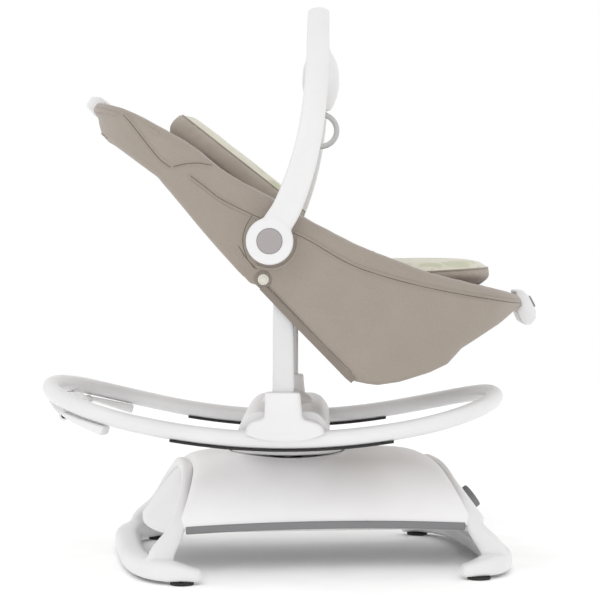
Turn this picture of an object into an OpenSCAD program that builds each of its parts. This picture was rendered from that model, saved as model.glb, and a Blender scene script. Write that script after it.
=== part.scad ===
// Swing-and-rocker bouncer seat: a floor base with a driven turntable, a rocker hoop that
// docks on it, and a fabric seat with a toy bar hung between two posts.
// Frame: +X towards the foot end of the seat, +Y to its left side, +Z up; the origin is on
// the floor below the swing axis. "near" pieces are on the -Y side, "far" pieces on +Y.

/* [Base] */
// Turn of the floor base about the swing axis, degrees
base_yaw = 8; // [0:1:12]
// Distance of the base's middle in front of the swing axis
base_shift = 32; // [20:1:36]
// Height of the top cover's ridge above the floor
base_h = 158; // [150:1:164]
// Half of the top cover's width, across the base
base_half_w = 187; // [180:1:190]
// Thickness of the plastic covers
wall = 3; // [2:0.5:4]
// Radius of a rubber foot pad
foot_r = 16; // [12:1:18]

/* [Turntable and drive] */
// Radius of the turntable
turntable_r = 80; // [75:1:82]
// Radius of the boss that the rocker docks on
dock_r = 52; // [45:1:55]
// Radius of the swing shaft
shaft_r = 14; // [12:1:16]
// Module of the drive gears
gear_m = 2; // [2:1:2]
// Teeth on the large gear
gear_teeth = 48; // [48:1:48]
// Teeth on the motor pinion
pinion_teeth = 12; // [12:1:12]

/* [Rocker] */
// Half of the distance between the two side rails
rail_y = 210; // [205:1:212]
// Height of the rails' centre line at the middle
rail_z = 190; // [188:1:192]
// Radius of the hoop's tube
tube_r = 12; // [10:1:12]
// Width of a post, along the seat
post_w = 29; // [24:1:32]
// Thickness of a post, across the seat
post_t = 16; // [12:1:18]

/* [Seat] */
// Hub axis, along the seat
hub_x = -19; // [-25:1:-10]
// Hub axis, above the floor
hub_z = 461; // [450:1:470]
// Half of the fabric shell's width at the hubs
seat_half_w = 225; // [222:1:226]
// Radius of the seat's ring tube
ring_r = 9; // [8:1:10]
// Thickness of the newborn insert's pads
pad_t = 28; // [22:1:30]

/* [Toy bar] */
// Height of the toy bar's crown above the floor
bar_top = 797; // [780:1:800]
// Radius of the toy bar's hubs
bar_hub_r = 32; // [30:1:34]
// Radius of the round button in each hub
button_r = 17.2; // [15:0.1:18]

/* [Hidden] */
$fn = 48;

white = [0.91, 0.90, 0.91];
grey = [0.6, 0.6, 0.6];
dark = [0.12, 0.12, 0.12];
taupe = [0.66, 0.62, 0.58];
cream = [0.86, 0.85, 0.74];
steel = [0.7, 0.7, 0.72];

// Radial gap between a shaft or pin and its bore
run_gap = 0.05;
// Gap that keeps faces of different bodies apart
clear_gap = 0.4;
// How far a cutting solid reaches past what it cuts
over = 5;
// Half length of a cutting solid that goes right through
through = 300;

// ---- Vectors, curves and swept tubes ----

function unit(v) = v / norm(v);
function mirror_y(p) = [p[0], -p[1], p[2]];
function cycle(list, i) = list[(i + len(list)) % len(list)];
function clamp_at(list, i) = list[max(0, min(len(list) - 1, i))];

// Catmull-Rom point between b and c, at fraction t
function between(a, b, c, d, t) =
    0.5 * (2 * b + (c - a) * t + (2 * a - 5 * b + 4 * c - d) * t * t
        + (3 * b - a - 3 * c + d) * t * t * t);
// Smooth curve through hand-set points, with n steps in each span
function smooth(p, n) = concat(
    [for (i = [0:len(p) - 2], k = [0:n - 1])
        between(clamp_at(p, i - 1), p[i], p[i + 1], clamp_at(p, i + 2), k / n)],
    [p[len(p) - 1]]);
// A path for the -Y half, followed back along its mirror image
function both_sides(p) = concat(
    [for (i = [0:len(p) - 1]) mirror_y(p[len(p) - 1 - i])],
    [for (i = [1:len(p) - 1]) p[i]]);

function signed_pow(v, e) = sign(v) * pow(abs(v), e);
// One superellipse ring of a tube, w by h, across direction t; e is 1 for an ellipse
function ring(c, t, up, w, h, e, n) =
    let (s = unit(cross(t, up)), u = cross(s, t))
    [for (i = [0:n - 1])
        c + s * (w / 2) * signed_pow(cos(360 * i / n), e)
          + u * (h / 2) * signed_pow(sin(360 * i / n), e)];

// Skin over rings with n points each; a closed skin joins the last ring to the first
module skin(rings, closed) {
    n = len(rings[0]);
    m = len(rings);
    side = [for (j = [0:(closed ? m - 1 : m - 2)], i = [0:n - 1])
        [j * n + i, j * n + (i + 1) % n,
         ((j + 1) % m) * n + (i + 1) % n, ((j + 1) % m) * n + i]];
    caps = closed ? [] : [[for (i = [0:n - 1]) n - 1 - i], [for (i = [0:n - 1]) (m - 1) * n + i]];
    polyhedron(points = [for (r = rings) each r], faces = concat(side, caps), convexity = 6);
}

// Tube of section w by h along a path; sizes may change evenly from w0, h0 to w1, h1
module tube(path, up, w0, h0, w1, h1, e = 1, n = 16, closed = false) {
    m = len(path);
    skin([for (j = [0:m - 1]) let (
            t = closed ? cycle(path, j + 1) - cycle(path, j - 1)
                : clamp_at(path, j + 1) - clamp_at(path, j - 1),
            f = j / (m - 1))
        ring(path[j], unit(t), up, w0 + (w1 - w0) * f, h0 + (h1 - h0) * f, e, n)], closed);
}

// Flat outline in X and Z, as thick as y0 to y1
module slab(outline, y0, y1) {
    translate([0, max(y0, y1), 0]) rotate([90, 0, 0]) linear_extrude(abs(y1 - y0)) polygon(outline);
}

// Round bar along Y from y0 to y1
module y_bar(x, z, r, y0, y1) {
    translate([x, min(y0, y1), z]) rotate([-90, 0, 0]) cylinder(r = r, h = abs(y1 - y0));
}

// Plan outline in X and Y, a superellipse of exponent e, extruded from z0 to z1
module plan_slab(x_mid, rx, ry, e, z0, z1, n = 56) {
    translate([0, 0, z0]) linear_extrude(z1 - z0)
        polygon([for (i = [0:n - 1])
            [x_mid + rx * signed_pow(cos(360 * i / n), 2 / e),
             ry * signed_pow(sin(360 * i / n), 2 / e)]]);
}

module on_base() {
    rotate([0, 0, base_yaw]) translate([base_shift, 0, 0]) children();
}

// ---- Floor base ----

edge_z = 68;
end_x_top = 154;
end_x_low = 195;

// Height of the arched cover at distance y from the ridge
function arch(y, half_w, rise) = rise * pow(1 - pow(abs(y) / half_w, 3.5), 0.8);
function arch_outline(half_w, rise, n) = concat(
    [for (i = [-n:n]) let (y = half_w * sin(90 * i / n)) [y, edge_z + arch(y, half_w, rise)]]);

// The ridge rolls down towards both ends of the cover
roll_start = 112;
roll_end = 169;
roll_drop = 15;
function roll(x) = let (f = max(0, (abs(x) - roll_start) / (roll_end - roll_start)))
    roll_drop * (1 - sqrt(max(0, 1 - f * f)));
module rolled_block(top, x) {
    n = 9;
    ends = [for (i = [0:n]) roll_start + (roll_end - roll_start) * sin(90 * i / n)];
    slab(concat([[-x, edge_z - 9], [-x, top - roll_drop]],
        [for (i = [0:n]) [-ends[n - i], top - roll(ends[n - i])]],
        [for (i = [0:n]) [ends[i], top - roll(ends[i])]],
        [[x, top - roll_drop], [x, edge_z - 9]]), -200, 200);
}

module arch_solid(half_w, rise, x) {
    intersection() {
        rotate([90, 0, 90]) translate([0, 0, -x]) linear_extrude(2 * x)
            polygon(arch_outline(half_w, rise, 14));
        rolled_block(edge_z + rise, x + 1);
    }
}

well_r = turntable_r + 4;
well_z = base_h - 9;
bearing_r = 26;
bearing_h = 10;

module base_cover() {
    color(white) difference() {
        union() {
            on_base() difference() {
                arch_solid(base_half_w, base_h - edge_z, 200);
                arch_solid(base_half_w - wall, base_h - edge_z - wall, 210);
                for (s = [-1, 1])
                    slab([[s * end_x_top, base_h + 9], [s * 240, base_h + 9], [s * 240, edge_z - 9],
                          [s * (end_x_low + 3), edge_z - 9]], -200, 200);
            }
            translate([0, 0, well_z - wall]) cylinder(r = well_r + wall, h = base_h - well_z);
            translate([0, 0, well_z - wall - bearing_h]) cylinder(r = bearing_r + 4, h = bearing_h + 1);
        }
        translate([0, 0, well_z]) cylinder(r = well_r, h = 40);
        translate([0, 0, well_z - 40]) cylinder(r = bearing_r, h = 80);
    }
}

// Grey band under the cover's long edge, a little higher in the middle of its length
trim_h = 9.5;
trim_t = 5;
trim_end = 192;
function trim_low(x) = 61.5 + 5 * (1 - pow(x / end_x_low, 2));

module side_trim(s) {
    n = 10;
    xs = [for (i = [-n:n]) trim_end * i / n];
    on_base() slab(concat([for (x = xs) [x, trim_low(x)]],
            [for (i = [0:2 * n]) [xs[2 * n - i], min(edge_z - 0.1, trim_low(xs[2 * n - i]) + trim_h)]]),
        s * (base_half_w - trim_t + 2), s * (base_half_w + 2));
}
module near_trim() { color(grey) side_trim(-1); }
module far_trim() { color(grey) side_trim(1); }

// Half of the strut pair that arches over an end, from the ridge down to a foot
strut_path = [[180, 0, 137], [180, 45, 136], [182, 84, 130], [187, 120, 117], [193, 150, 99],
    [202, 172, 79], [213, 188, 60], [229, 205, 38], [234, 214, 20]];

module leg_arch(s) {
    half = smooth([for (p = strut_path) [s * p[0], -p[1], p[2]]], 3);
    on_base() tube(both_sides(half), [s, 0, 0.35],
        16, 30, 16, 30, 0.7, 16);
}
module rear_leg_arch() { color(white) leg_arch(-1); }
module front_leg_arch() { color(white) leg_arch(1); }

// Horseshoe on the floor: from one foot's tip round the end to the other foot's tip
loop_tip_x = 175;
front_reach = 79;
rear_reach = 85;
loop_half_y = 240;
loop_round = 0.6;
pad_x = 203;
pad_y = 237;
pad_h = 4;
loop_h = 28;

module leg_loop(s) {
    n = 16;
    reach = s > 0 ? front_reach : rear_reach;
    path = [for (i = [-n:n]) let (a = 90 * i / n)
        [s * (loop_tip_x + reach * pow(cos(a), loop_round)),
         loop_half_y * signed_pow(sin(a), loop_round), pad_h + loop_h / 2]];
    on_base() tube(path, [0, 0, 1], 35, loop_h, 35, loop_h, 0.6, 16);
}
module rear_leg_loop() { color(white) leg_loop(-1); }
module front_leg_loop() { color(white) leg_loop(1); }

// Sloping end panel inside each arch
panel_x = 261;
panel_z0 = 48;
panel_z1 = 122;
panel_slope = 36;
function panel_at(z) = panel_x - (z - panel_z0) * tan(panel_slope);

module end_panel(s) {
    intersection() {
        slab([[s * panel_at(panel_z0), panel_z0], [s * panel_at(panel_z1), panel_z1],
              [s * (panel_at(panel_z1) - 5), panel_z1], [s * (panel_at(panel_z0) - 5), panel_z0]],
            -200, 200);
        rotate([90, 0, 90]) translate([0, 0, -300]) linear_extrude(600)
            polygon([[-168, panel_z0], [168, panel_z0], [150, 84], [84, panel_z1], [-84, panel_z1],
                [-150, 84]]);
    }
}
module rear_end_panel() { color(white) on_base() end_panel(-1); }

dial_r = 17.5;
dial_h = 9.5;
dial_z = 83;
dial_shaft_r = 3;
// Places children on the front panel's face, with +Z out of it
module on_dial_axis() {
    on_base() translate([panel_at(dial_z), 0, dial_z]) rotate([0, 90 - panel_slope, 0]) children();
}
module front_end_panel() {
    color(white) difference() {
        on_base() end_panel(1);
        on_dial_axis() translate([0, 0, -20]) cylinder(r = dial_shaft_r + 0.5, h = 40);
    }
}

tray_z = 62;
screw_spots = [for (x = [-150, 0, 150], y = [-150, 150]) [x, y]];
module base_tray() {
    color(grey) on_base() difference() {
        translate([-180, -178, tray_z]) cube([360, 356, wall]);
        for (p = screw_spots) translate([p[0], p[1], tray_z - 1]) cylinder(r = 1.7, h = 9);
    }
}
module foot_pads() {
    color(dark) on_base() for (x = [-pad_x, pad_x], y = [-pad_y, pad_y])
        translate([x, y, 0]) cylinder(r = foot_r, h = pad_h);
}
module tray_screws() {
    color(steel) on_base() for (p = screw_spots) translate([p[0], p[1], tray_z - 2]) union() {
        cylinder(r = 3.2, h = 2);
        cylinder(r = 1.5, h = 9);
    }
}

// ---- Drive: motor, gearbox, gears, shaft and bearing about the swing axis ----

gear_z = well_z - wall - bearing_h - 14;
gear_h = 10;
gear_distance = gear_m * (gear_teeth + pinion_teeth) / 2;
backlash = 0.25;

// Spur gear with straight-sided teeth; turned puts a tooth's middle at that angle
module spur_gear(teeth, h, turned) {
    rp = gear_m * teeth / 2;
    half_pitch = 90 / teeth;
    slack = backlash / rp * 180 / PI;
    root = rp - 1.3 * gear_m;
    tip = rp + 0.9 * gear_m;
    linear_extrude(h) polygon([for (i = [0:teeth - 1], k = [0:3])
        let (r = k == 0 || k == 3 ? root : tip,
             a = (k == 0 ? -1.55 : k == 1 ? -0.42 : k == 2 ? 0.42 : 1.55) * half_pitch
                + (k < 2 ? slack : -slack) + turned + i * 360 / teeth)
        [r * cos(a), r * sin(a)]]);
}

module swing_bearing() {
    color(steel) translate([0, 0, well_z - wall - bearing_h]) difference() {
        cylinder(r = bearing_r, h = bearing_h);
        translate([0, 0, -1]) cylinder(r = shaft_r + run_gap, h = bearing_h + 2);
    }
}
module swing_shaft() {
    color(steel) translate([0, 0, gear_z - 4]) cylinder(r = shaft_r, h = base_h - 1 - gear_z + 4);
}
module drive_gear() {
    color(grey) translate([0, 0, gear_z]) difference() {
        spur_gear(gear_teeth, gear_h, base_yaw);
        translate([0, 0, -1]) cylinder(r = shaft_r, h = gear_h + 2);
    }
}

// The pinion stands in front of the swing shaft, on the base's long axis
module on_motor_axis() {
    rotate([0, 0, base_yaw]) translate([gear_distance, 0, 0]) children();
}
pinion_shaft_r = 3;
gearbox_h = 16;
gearbox_z = gear_z - gearbox_h - 2;
motor_h = gearbox_z - tray_z - wall;

module motor_pinion() {
    color(steel) on_motor_axis() union() {
        translate([0, 0, gear_z]) spur_gear(pinion_teeth, gear_h, 180 + 180 / pinion_teeth);
        translate([0, 0, gearbox_z + 6]) cylinder(r = pinion_shaft_r, h = gear_z - gearbox_z);
    }
}
module gearbox() {
    color(grey) on_motor_axis() difference() {
        translate([-22, -22, gearbox_z]) cube([44, 44, gearbox_h]);
        translate([0, 0, gearbox_z + 4]) cylinder(r = pinion_shaft_r + run_gap, h = gearbox_h);
    }
}
module drive_motor() {
    color(steel) on_motor_axis() translate([0, 0, gearbox_z - motor_h]) cylinder(r = 18, h = motor_h);
}
module circuit_board() {
    color([0.15, 0.4, 0.25]) on_base() translate([105, -70, tray_z + wall + 6]) union() {
        cube([60, 45, 1.6]);
        for (x = [5, 55], y = [5, 40]) translate([x, y, -6]) cylinder(r = 2, h = 6);
    }
}
module power_socket() {
    color(dark) on_base() difference() {
        translate([-180, 60, tray_z + wall]) cube([14, 12, 11]);
        translate([-181, 66, tray_z + wall + 5.5]) rotate([0, 90, 0]) cylinder(r = 3.2, h = 11);
    }
}
module dial_encoder() {
    color(dark) on_dial_axis() difference() {
        translate([-9, -9, -18]) cube([18, 18, 10]);
        translate([0, 0, -15]) cylinder(r = dial_shaft_r + run_gap, h = 9);
    }
}
module speed_dial() {
    color(grey) on_dial_axis() difference() {
        union() {
            translate([0, 0, clear_gap]) cylinder(r = dial_r, h = dial_h);
            translate([0, 0, -14]) cylinder(r = dial_shaft_r, h = 15);
        }
        translate([-1, 4, clear_gap + dial_h - 1.5]) cube([2, dial_r, 2]);
    }
}

// ---- Turntable ----

dock_z = 184;
module turntable() {
    color(white) union() {
        translate([0, 0, base_h - 1]) cylinder(r = turntable_r, h = 6);
        translate([0, 0, base_h + 4]) cylinder(r = dock_r, h = dock_z - base_h - 5);
    }
}

// ---- Rocker ----

runner_r = 1850;
bow_round = 0.87;
function hoop_z(x) = rail_z + x * x / runner_r;
rail_x0 = -190;
rail_x1 = 150;

module rail(s) {
    n = 14;
    tube([for (i = [0:n]) let (x = rail_x0 + (rail_x1 - rail_x0) * i / n) [x, s * rail_y, hoop_z(x)]],
        [0, 0, 1], 2 * tube_r, 2 * tube_r, 2 * tube_r, 2 * tube_r);
}
module near_rail() { color(white) rail(-1); }
module far_rail() { color(white) rail(1); }

// Rounded end of the hoop, reach long, from one rail round to the other
module bow(x0, reach) {
    n = 18;
    path = [for (i = [-n:n]) let (a = 90 * i / n,
            x = x0 + reach * pow(cos(a), bow_round))
        [x, rail_y * signed_pow(sin(a), bow_round), hoop_z(x)]];
    tube(path, [0, 0, 1], 2 * tube_r, 2 * tube_r, 2 * tube_r, 2 * tube_r);
}
module rear_bow() { color(white) bow(rail_x0, -150); }
module front_bow() { color(white) bow(rail_x1, 150); }

strip_t = 3;
module rubber_strip(s) {
    n = 16;
    xs = [for (i = [0:n]) -156 + (rail_x1 - 1 + 156) * i / n];
    slab(concat([for (x = xs) [x, hoop_z(x) - tube_r - strip_t]],
            [for (i = [0:n]) [xs[n - i], hoop_z(xs[n - i]) - tube_r - 0.05]]),
        s * (rail_y - 8), s * (rail_y + 8));
}
module near_rubber_strip() { color(dark) rubber_strip(-1); }
module far_rubber_strip() { color(dark) rubber_strip(1); }

bridge_z = 228.5;
boot_z = 256;
// Inner and outer face of a boot, from the middle of the seat
boot_in = rail_y - 15;
boot_out = rail_y + 17;
module cross_bridge() {
    color(white) slab([[-66, dock_z], [-65, 200], [-60, 213], [-51, 223], [-40, bridge_z],
            [38, bridge_z], [49, 223.5], [57, 214], [62, 202], [62, dock_z]], -boot_in, boot_in);
}
module bridge_cap() {
    color(white) intersection() {
        translate([1, 0, bridge_z - 29.5]) sphere(r = 49);
        translate([-50, -50, bridge_z]) cube([100, 100, 30]);
    }
}
module dock_collar() {
    color(grey) translate([0, 0, base_h + 5.5]) difference() {
        cylinder(r = dock_r + 9, h = dock_z - base_h - 5.5);
        translate([0, 0, -1]) cylinder(r = dock_r + clear_gap, h = 40);
    }
}

post_x = -1;
// Inner and outer face of a post, from the middle of the seat
post_in = rail_y - post_t / 2;
post_out = rail_y + post_t / 2;
module boot(s) {
    z0 = hoop_z(54) + tube_r + 0.5;
    color(white) difference() {
        slab([[-52, z0], [54, z0], [48, 213], [38, 217], [24, 221], [21, boot_z], [-26, boot_z],
              [-27, 221], [-42, 217], [-48, 213]], s * boot_in, s * boot_out);
        slab([[post_x - post_w / 2, 190], [post_x + post_w / 2, 190], [post_x + post_w / 2, 270],
              [post_x - post_w / 2, 270]], s * post_in, s * post_out);
    }
}
module near_boot() { color(white) boot(-1); }
module far_boot() { color(white) boot(1); }

pin_r = 8;
module post(s) {
    z0 = hoop_z(54) + tube_r + 0.5;
    color(white) difference() {
        union() {
            slab([[post_x - post_w / 2, z0], [post_x + post_w / 2, z0], [post_x + post_w / 2, hub_z - 18],
                  [hub_x + 29, hub_z - 6], [hub_x, hub_z], [hub_x - 22, hub_z - 18],
                  [post_x - post_w / 2, hub_z - 60]], s * post_in, s * post_out);
            y_bar(hub_x, hub_z, 30, s * post_in, s * post_out);
        }
        y_bar(hub_x, hub_z, pin_r, s * (post_in - over), s * (post_out + over));
    }
}
module near_post() { post(-1); }
module far_post() { post(1); }

plate_in = 188;
plate_out = 200;
hub_in = seat_half_w + 1.2;
hub_out = seat_half_w + 26;
module seat_pivot_pins() {
    color(steel) for (s = [-1, 1])
        y_bar(hub_x, hub_z, pin_r - run_gap, s * (plate_in - 2), s * (hub_out - 13));
}

// ---- Stabiliser: two legs that fold up under the rear bow, each on its own pin ----

flap_x = -306;
flap_z = 219.5;
flap_pin_r = 4.5;
bracket_y = 100;
module stabiliser_brackets() {
    color(white) for (s = [-1, 1]) difference() {
        slab([[-334, 236], [-312, 236], [flap_x + 8, flap_z + 5], [flap_x + 8, flap_z - 8],
              [flap_x - 8, flap_z - 8], [-326, 224]], s * (bracket_y - 4), s * (bracket_y + 4));
        y_bar(flap_x, flap_z, flap_pin_r, s * (bracket_y - 4 - over), s * (bracket_y + 4 + over));
    }
}
module stabiliser_pins() {
    color(steel) for (s = [-1, 1])
        y_bar(flap_x, flap_z, flap_pin_r - run_gap, s * (bracket_y - 6), s * 156);
}
// Point under the rear bow at angle a round it, drop below its centre line
function under_bow(a, drop) = let (x = rail_x0 - 150 * pow(cos(a), bow_round))
    [x, -rail_y * pow(sin(a), bow_round), hoop_z(x) - drop];
module stabiliser(s) {
    n = 12;
    path = [for (i = [0:n]) under_bow(42 + 30 * i / n, tube_r + 4 + 4 * i / n)];
    color(white) mirror([0, s > 0 ? 1 : 0, 0]) difference() {
        union() {
            tube(path, [0, 0, 1], 16, 6, 24, 13, 0.7, 16);
            y_bar(flap_x, flap_z, 7.5, -156, -bracket_y - 5);
        }
        y_bar(flap_x, flap_z, flap_pin_r, -190, -90);
    }
}
module near_stabiliser() { stabiliser(-1); }
module far_stabiliser() { stabiliser(1); }

// ---- Seat ----

ring_mid_x = 31;
ring_half_x = 297;
ring_half_y = 207;
seat_exp = 2.4;
// Height of the ring tube's centre line at x
function ring_z(x) = let (u = (x - ring_mid_x) / ring_half_x)
    480 + u * (-169 + u * (65 + u * (32 - 35 * u)));

module seat_ring() {
    n = 48;
    path = [for (i = [0:n - 1]) let (x = ring_mid_x + ring_half_x * signed_pow(cos(360 * i / n), 2 / seat_exp))
        [x, ring_half_y * signed_pow(sin(360 * i / n), 2 / seat_exp), ring_z(x)]];
    color(steel) tube(path, [0.4, 0, 1], 2 * ring_r, 2 * ring_r, 2 * ring_r, 2 * ring_r, 1, 12, true);
}
module hub_plates() {
    color(white) for (s = [-1, 1]) difference() {
        union() {
            y_bar(hub_x, hub_z, 28, s * plate_in, s * plate_out);
            slab([[hub_x - 14, hub_z], [hub_x + 14, hub_z], [hub_x + 14, ring_z(hub_x)],
                  [hub_x - 14, ring_z(hub_x)]], s * plate_in, s * plate_out);
        }
        y_bar(hub_x, hub_z, pin_r, s * (plate_in - over), s * (plate_out + over));
    }
}

// Side outline of the fabric shell below the ring, and of the hollow inside it
shell_low = [[-262, 617], [-240, 603], [-198, 569], [-136, 505], [-90, 450], [-46, 404], [-15, 376],
    [89, 271], [119, 266], [157, 268], [198, 281], [222, 294], [236, 308], [333, 354]];
hollow_low = [[-256, 628], [-190, 577], [-128, 514], [-84, 461], [-38, 411], [-8, 383],
    [93, 281], [120, 275], [156, 277], [194, 290], [217, 303], [232, 318], [328, 370]];
rim_drop = ring_r + 3;
rim_x = [for (i = [0:20]) 334 - 598 * i / 20];
// Room for a post and for its swing when the seat tilts
module post_room(s) {
    union() {
        slab([[-55, hub_z], [20, hub_z], [50, 230], [-52, 230]], s * (plate_in - 1), s * (post_out + 1.5));
        y_bar(hub_x, hub_z, 37, s * (plate_in - 1), s * (post_out + 1.5));
        slab([[hub_x - 20, hub_z], [hub_x + 20, hub_z], [hub_x + 20, 540], [hub_x - 20, 540]],
            s * (plate_in - 1), s * (plate_out + 2));
    }
}
module seat_cover() {
    color(taupe) difference() {
        intersection() {
            slab(concat([for (x = rim_x) [x, ring_z(x) - rim_drop]], shell_low), -seat_half_w, seat_half_w);
            plan_slab(ring_mid_x, 306, seat_half_w, seat_exp, 200, 700);
        }
        intersection() {
            slab(concat([[328, 720], [-256, 720]], hollow_low), -seat_half_w, seat_half_w);
            plan_slab(ring_mid_x, 294, 184, seat_exp, 200, 700);
        }
        for (s = [-1, 1]) post_room(s);
        y_bar(hub_x, hub_z, 20, -through, through);
        // Notch that the foot grip fills
        slab([[322, 400], [366, 400], [366, 336], [322, 336]], -foot_grip_w / 2, foot_grip_w / 2);
    }
}

// Padded inner surface that the child lies on
module seat_liner() {
    color(taupe) intersection() {
        slab([[-232, 626], [-150, 596], [52, 437], [96, 409], [200, 403], [285, 386], [285, 375],
              [198, 391], [92, 397], [44, 425], [-156, 583], [-232, 613]], -180, 180);
        plan_slab(ring_mid_x, 280, 177, seat_exp, 300, 700);
    }
}

pad_half_w = 130;
module pad(outline, x_mid, rx) {
    color(cream) intersection() {
        slab(outline, -pad_half_w, pad_half_w);
        plan_slab(x_mid, rx, pad_half_w, 4, 300, 700, 40);
    }
}
back_slope = 38.2;
module back_pad() {
    rise = pad_t / cos(back_slope);
    pad([[-148, 596], [56, 435.5], [76, 444], [76, 460], [56, 435.5 + rise], [-126, 578.5 + rise],
         [-144, 589 + rise], [-161, 583 + rise], [-166, 608]], -45, 124);
}
module leg_pad() {
    pad([[98, 410], [200, 405], [262, 402], [279, 412], [281, 424], [273, 434], [250, 437],
         [160, 437], [98, 444], [84, 436], [86, 420]], 182, 100);
}

// Waist straps and crotch strap of the harness, thin webbing over the pads
buckle_x = 108;
buckle_z = 445;
module webbing(path, w) {
    tube(path, [0, 0, 1], w, 2, w, 2, 0.5, 8);
}
module harness_straps() {
    color(cream * 0.6) union() {
        for (s = [-1, 1])
            webbing(smooth([[16, s * 150, 509], [40, s * 118, 494], [74, s * 68, 473],
                [buckle_x - 8, s * 21, buckle_z + 7]], 5), 24);
    }
}
module harness_buckle() {
    color(grey) translate([buckle_x - 20, -20, buckle_z]) union() {
        cube([40, 40, 12]);
        translate([20, 20, 12]) cylinder(r = 9, h = 1.5);
    }
}
snap_x = -28;
snap_z = 409;
module skirt_snaps() {
    color(cream) for (s = [-1, 1]) y_bar(snap_x, snap_z, 9, s * (seat_half_w - 1), s * (seat_half_w + 5));
}
module head_grip() {
    color(white) slab([[-288, 655], [-280, 668], [-267, 668], [-258, 660], [-262, 652], [-274, 639]], -38, 38);
}
foot_grip_w = 90;
foot_grip_outline = [[328, 390], [338, 391], [346, 383], [357, 361], [357, 350], [350, 342],
    [342, 341], [336, 346], [330, 360]];
// The release button sits in the foot grip's outer face and slides into it
release_tilt = 28;
module on_release() {
    translate([350.5, 0, 373]) rotate([0, 90 - release_tilt, 0]) children();
}
module foot_grip() {
    color(white) difference() {
        slab(foot_grip_outline, -foot_grip_w / 2, foot_grip_w / 2);
        on_release() translate([-9.5, -25.5, -6]) cube([19, 51, 12]);
    }
}
module release_button() {
    color(grey) on_release() translate([-9, -25, -2]) cube([18, 50, 4]);
}

// ---- Toy bar ----

crown_x = 46;
bar_t = 13;
bar_w = 31;
bar_half_y = 238;
bar_lean = 3.05;
// Centre line of the arch at angle a from its crown, towards -Y
function bar_point(a) = let (
        y = bar_half_y * pow(sin(a), 0.84),
        rise = (bar_top - bar_t / 2 - hub_z) * pow(cos(a), 0.84),
        f = 1 - rise / (bar_top - bar_t / 2 - hub_z))
    [crown_x - (crown_x - hub_x) * pow(f, bar_lean), -y, hub_z + rise];
// Growth of the arch's width and of its thickness, from the crown to a hub
bar_widen = 11;
bar_thicken = 7;
module toy_arch() {
    n = 24;
    half = concat([for (i = [0:n - 1]) bar_point(85.4 * i / (n - 1))],
        [[hub_x + 9, -bar_half_y, hub_z + 21]]);
    path = both_sides(half);
    m = len(path);
    color(white) difference() {
        skin([for (j = [0:m - 1]) let (
                t = unit(clamp_at(path, j + 1) - clamp_at(path, j - 1)),
                f = abs(j - n) / n)
            ring(path[j], t, cross([1, 0, 0], t), bar_w + bar_widen * pow(f, 3),
                bar_t + bar_thicken * pow(f, 6), 0.6, 16)], false);
        for (s = [-1, 1]) y_bar(hub_x, hub_z, bar_hub_r, s * (hub_in - over), s * (hub_out + over));
    }
}
module bar_hub(s) {
    color(white) difference() {
        y_bar(hub_x, hub_z, bar_hub_r, s * hub_in, s * hub_out);
        y_bar(hub_x, hub_z, pin_r, s * (hub_in - over), s * (hub_out + over));
        y_bar(hub_x, hub_z, button_r + 0.3, s * (hub_out - 11), s * (hub_out + over));
    }
}
module near_hub() { bar_hub(-1); }
module far_hub() { bar_hub(1); }
module hub_button(s) {
    color(grey) y_bar(hub_x, hub_z, button_r, s * (hub_out - 6), s * (hub_out + 1));
}
module near_button() { hub_button(-1); }
module far_button() { hub_button(1); }

pod_x = 49;
ring_top_z = 644;
toy_ring_r = 23;
module toy_pod() {
    color(white) difference() {
        union() {
            translate([pod_x, 0, 0]) rotate_extrude() polygon([[0, bar_top - bar_t - 0.5],
                [12, bar_top - bar_t - 0.5], [13, 760], [19, 735], [25, 712], [27, 694],
                [24, 674], [15, 658], [0, 652]]);
            translate([pod_x - 2.5, -9, ring_top_z - 8]) cube([5, 18, 18]);
        }
        translate([pod_x - 20, 0, ring_top_z]) rotate([0, 90, 0]) cylinder(r = 4.8, h = 40);
    }
}
module toy_ring() {
    color([0.78, 0.78, 0.78]) translate([pod_x, 0, ring_top_z - toy_ring_r]) rotate([90, 0, 0])
        rotate_extrude() translate([toy_ring_r, 0]) circle(r = 4, $fn = 32);
}

base_cover();
near_trim();
far_trim();
rear_leg_arch();
rear_leg_loop();
front_leg_arch();
front_leg_loop();
rear_end_panel();
front_end_panel();
base_tray();
foot_pads();
tray_screws();
swing_bearing();
drive_motor();
gearbox();
circuit_board();
dial_encoder();
power_socket();
speed_dial();
motor_pinion();
turntable();
swing_shaft();
drive_gear();
near_rail();
far_rail();
rear_bow();
front_bow();
near_rubber_strip();
far_rubber_strip();
cross_bridge();
bridge_cap();
dock_collar();
near_boot();
far_boot();
near_post();
far_post();
seat_pivot_pins();
stabiliser_brackets();
stabiliser_pins();
near_stabiliser();
far_stabiliser();
seat_ring();
hub_plates();
seat_cover();
seat_liner();
back_pad();
leg_pad();
harness_straps();
harness_buckle();
skirt_snaps();
head_grip();
foot_grip();
release_button();
toy_arch();
near_hub();
far_hub();
near_button();
far_button();
toy_pod();
toy_ring();
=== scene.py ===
"""The looks of a swing-and-rocker bouncer seat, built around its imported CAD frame.

Lengths are in millimetres up to the point where a mesh is made, and turn into metres there.
+X is the foot end of the seat, -Y its near side, +Z up, and the origin is on the floor.
"""

import math

import bmesh
import bpy
import numpy as np
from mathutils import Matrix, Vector
from mathutils.bvhtree import BVHTree


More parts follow.
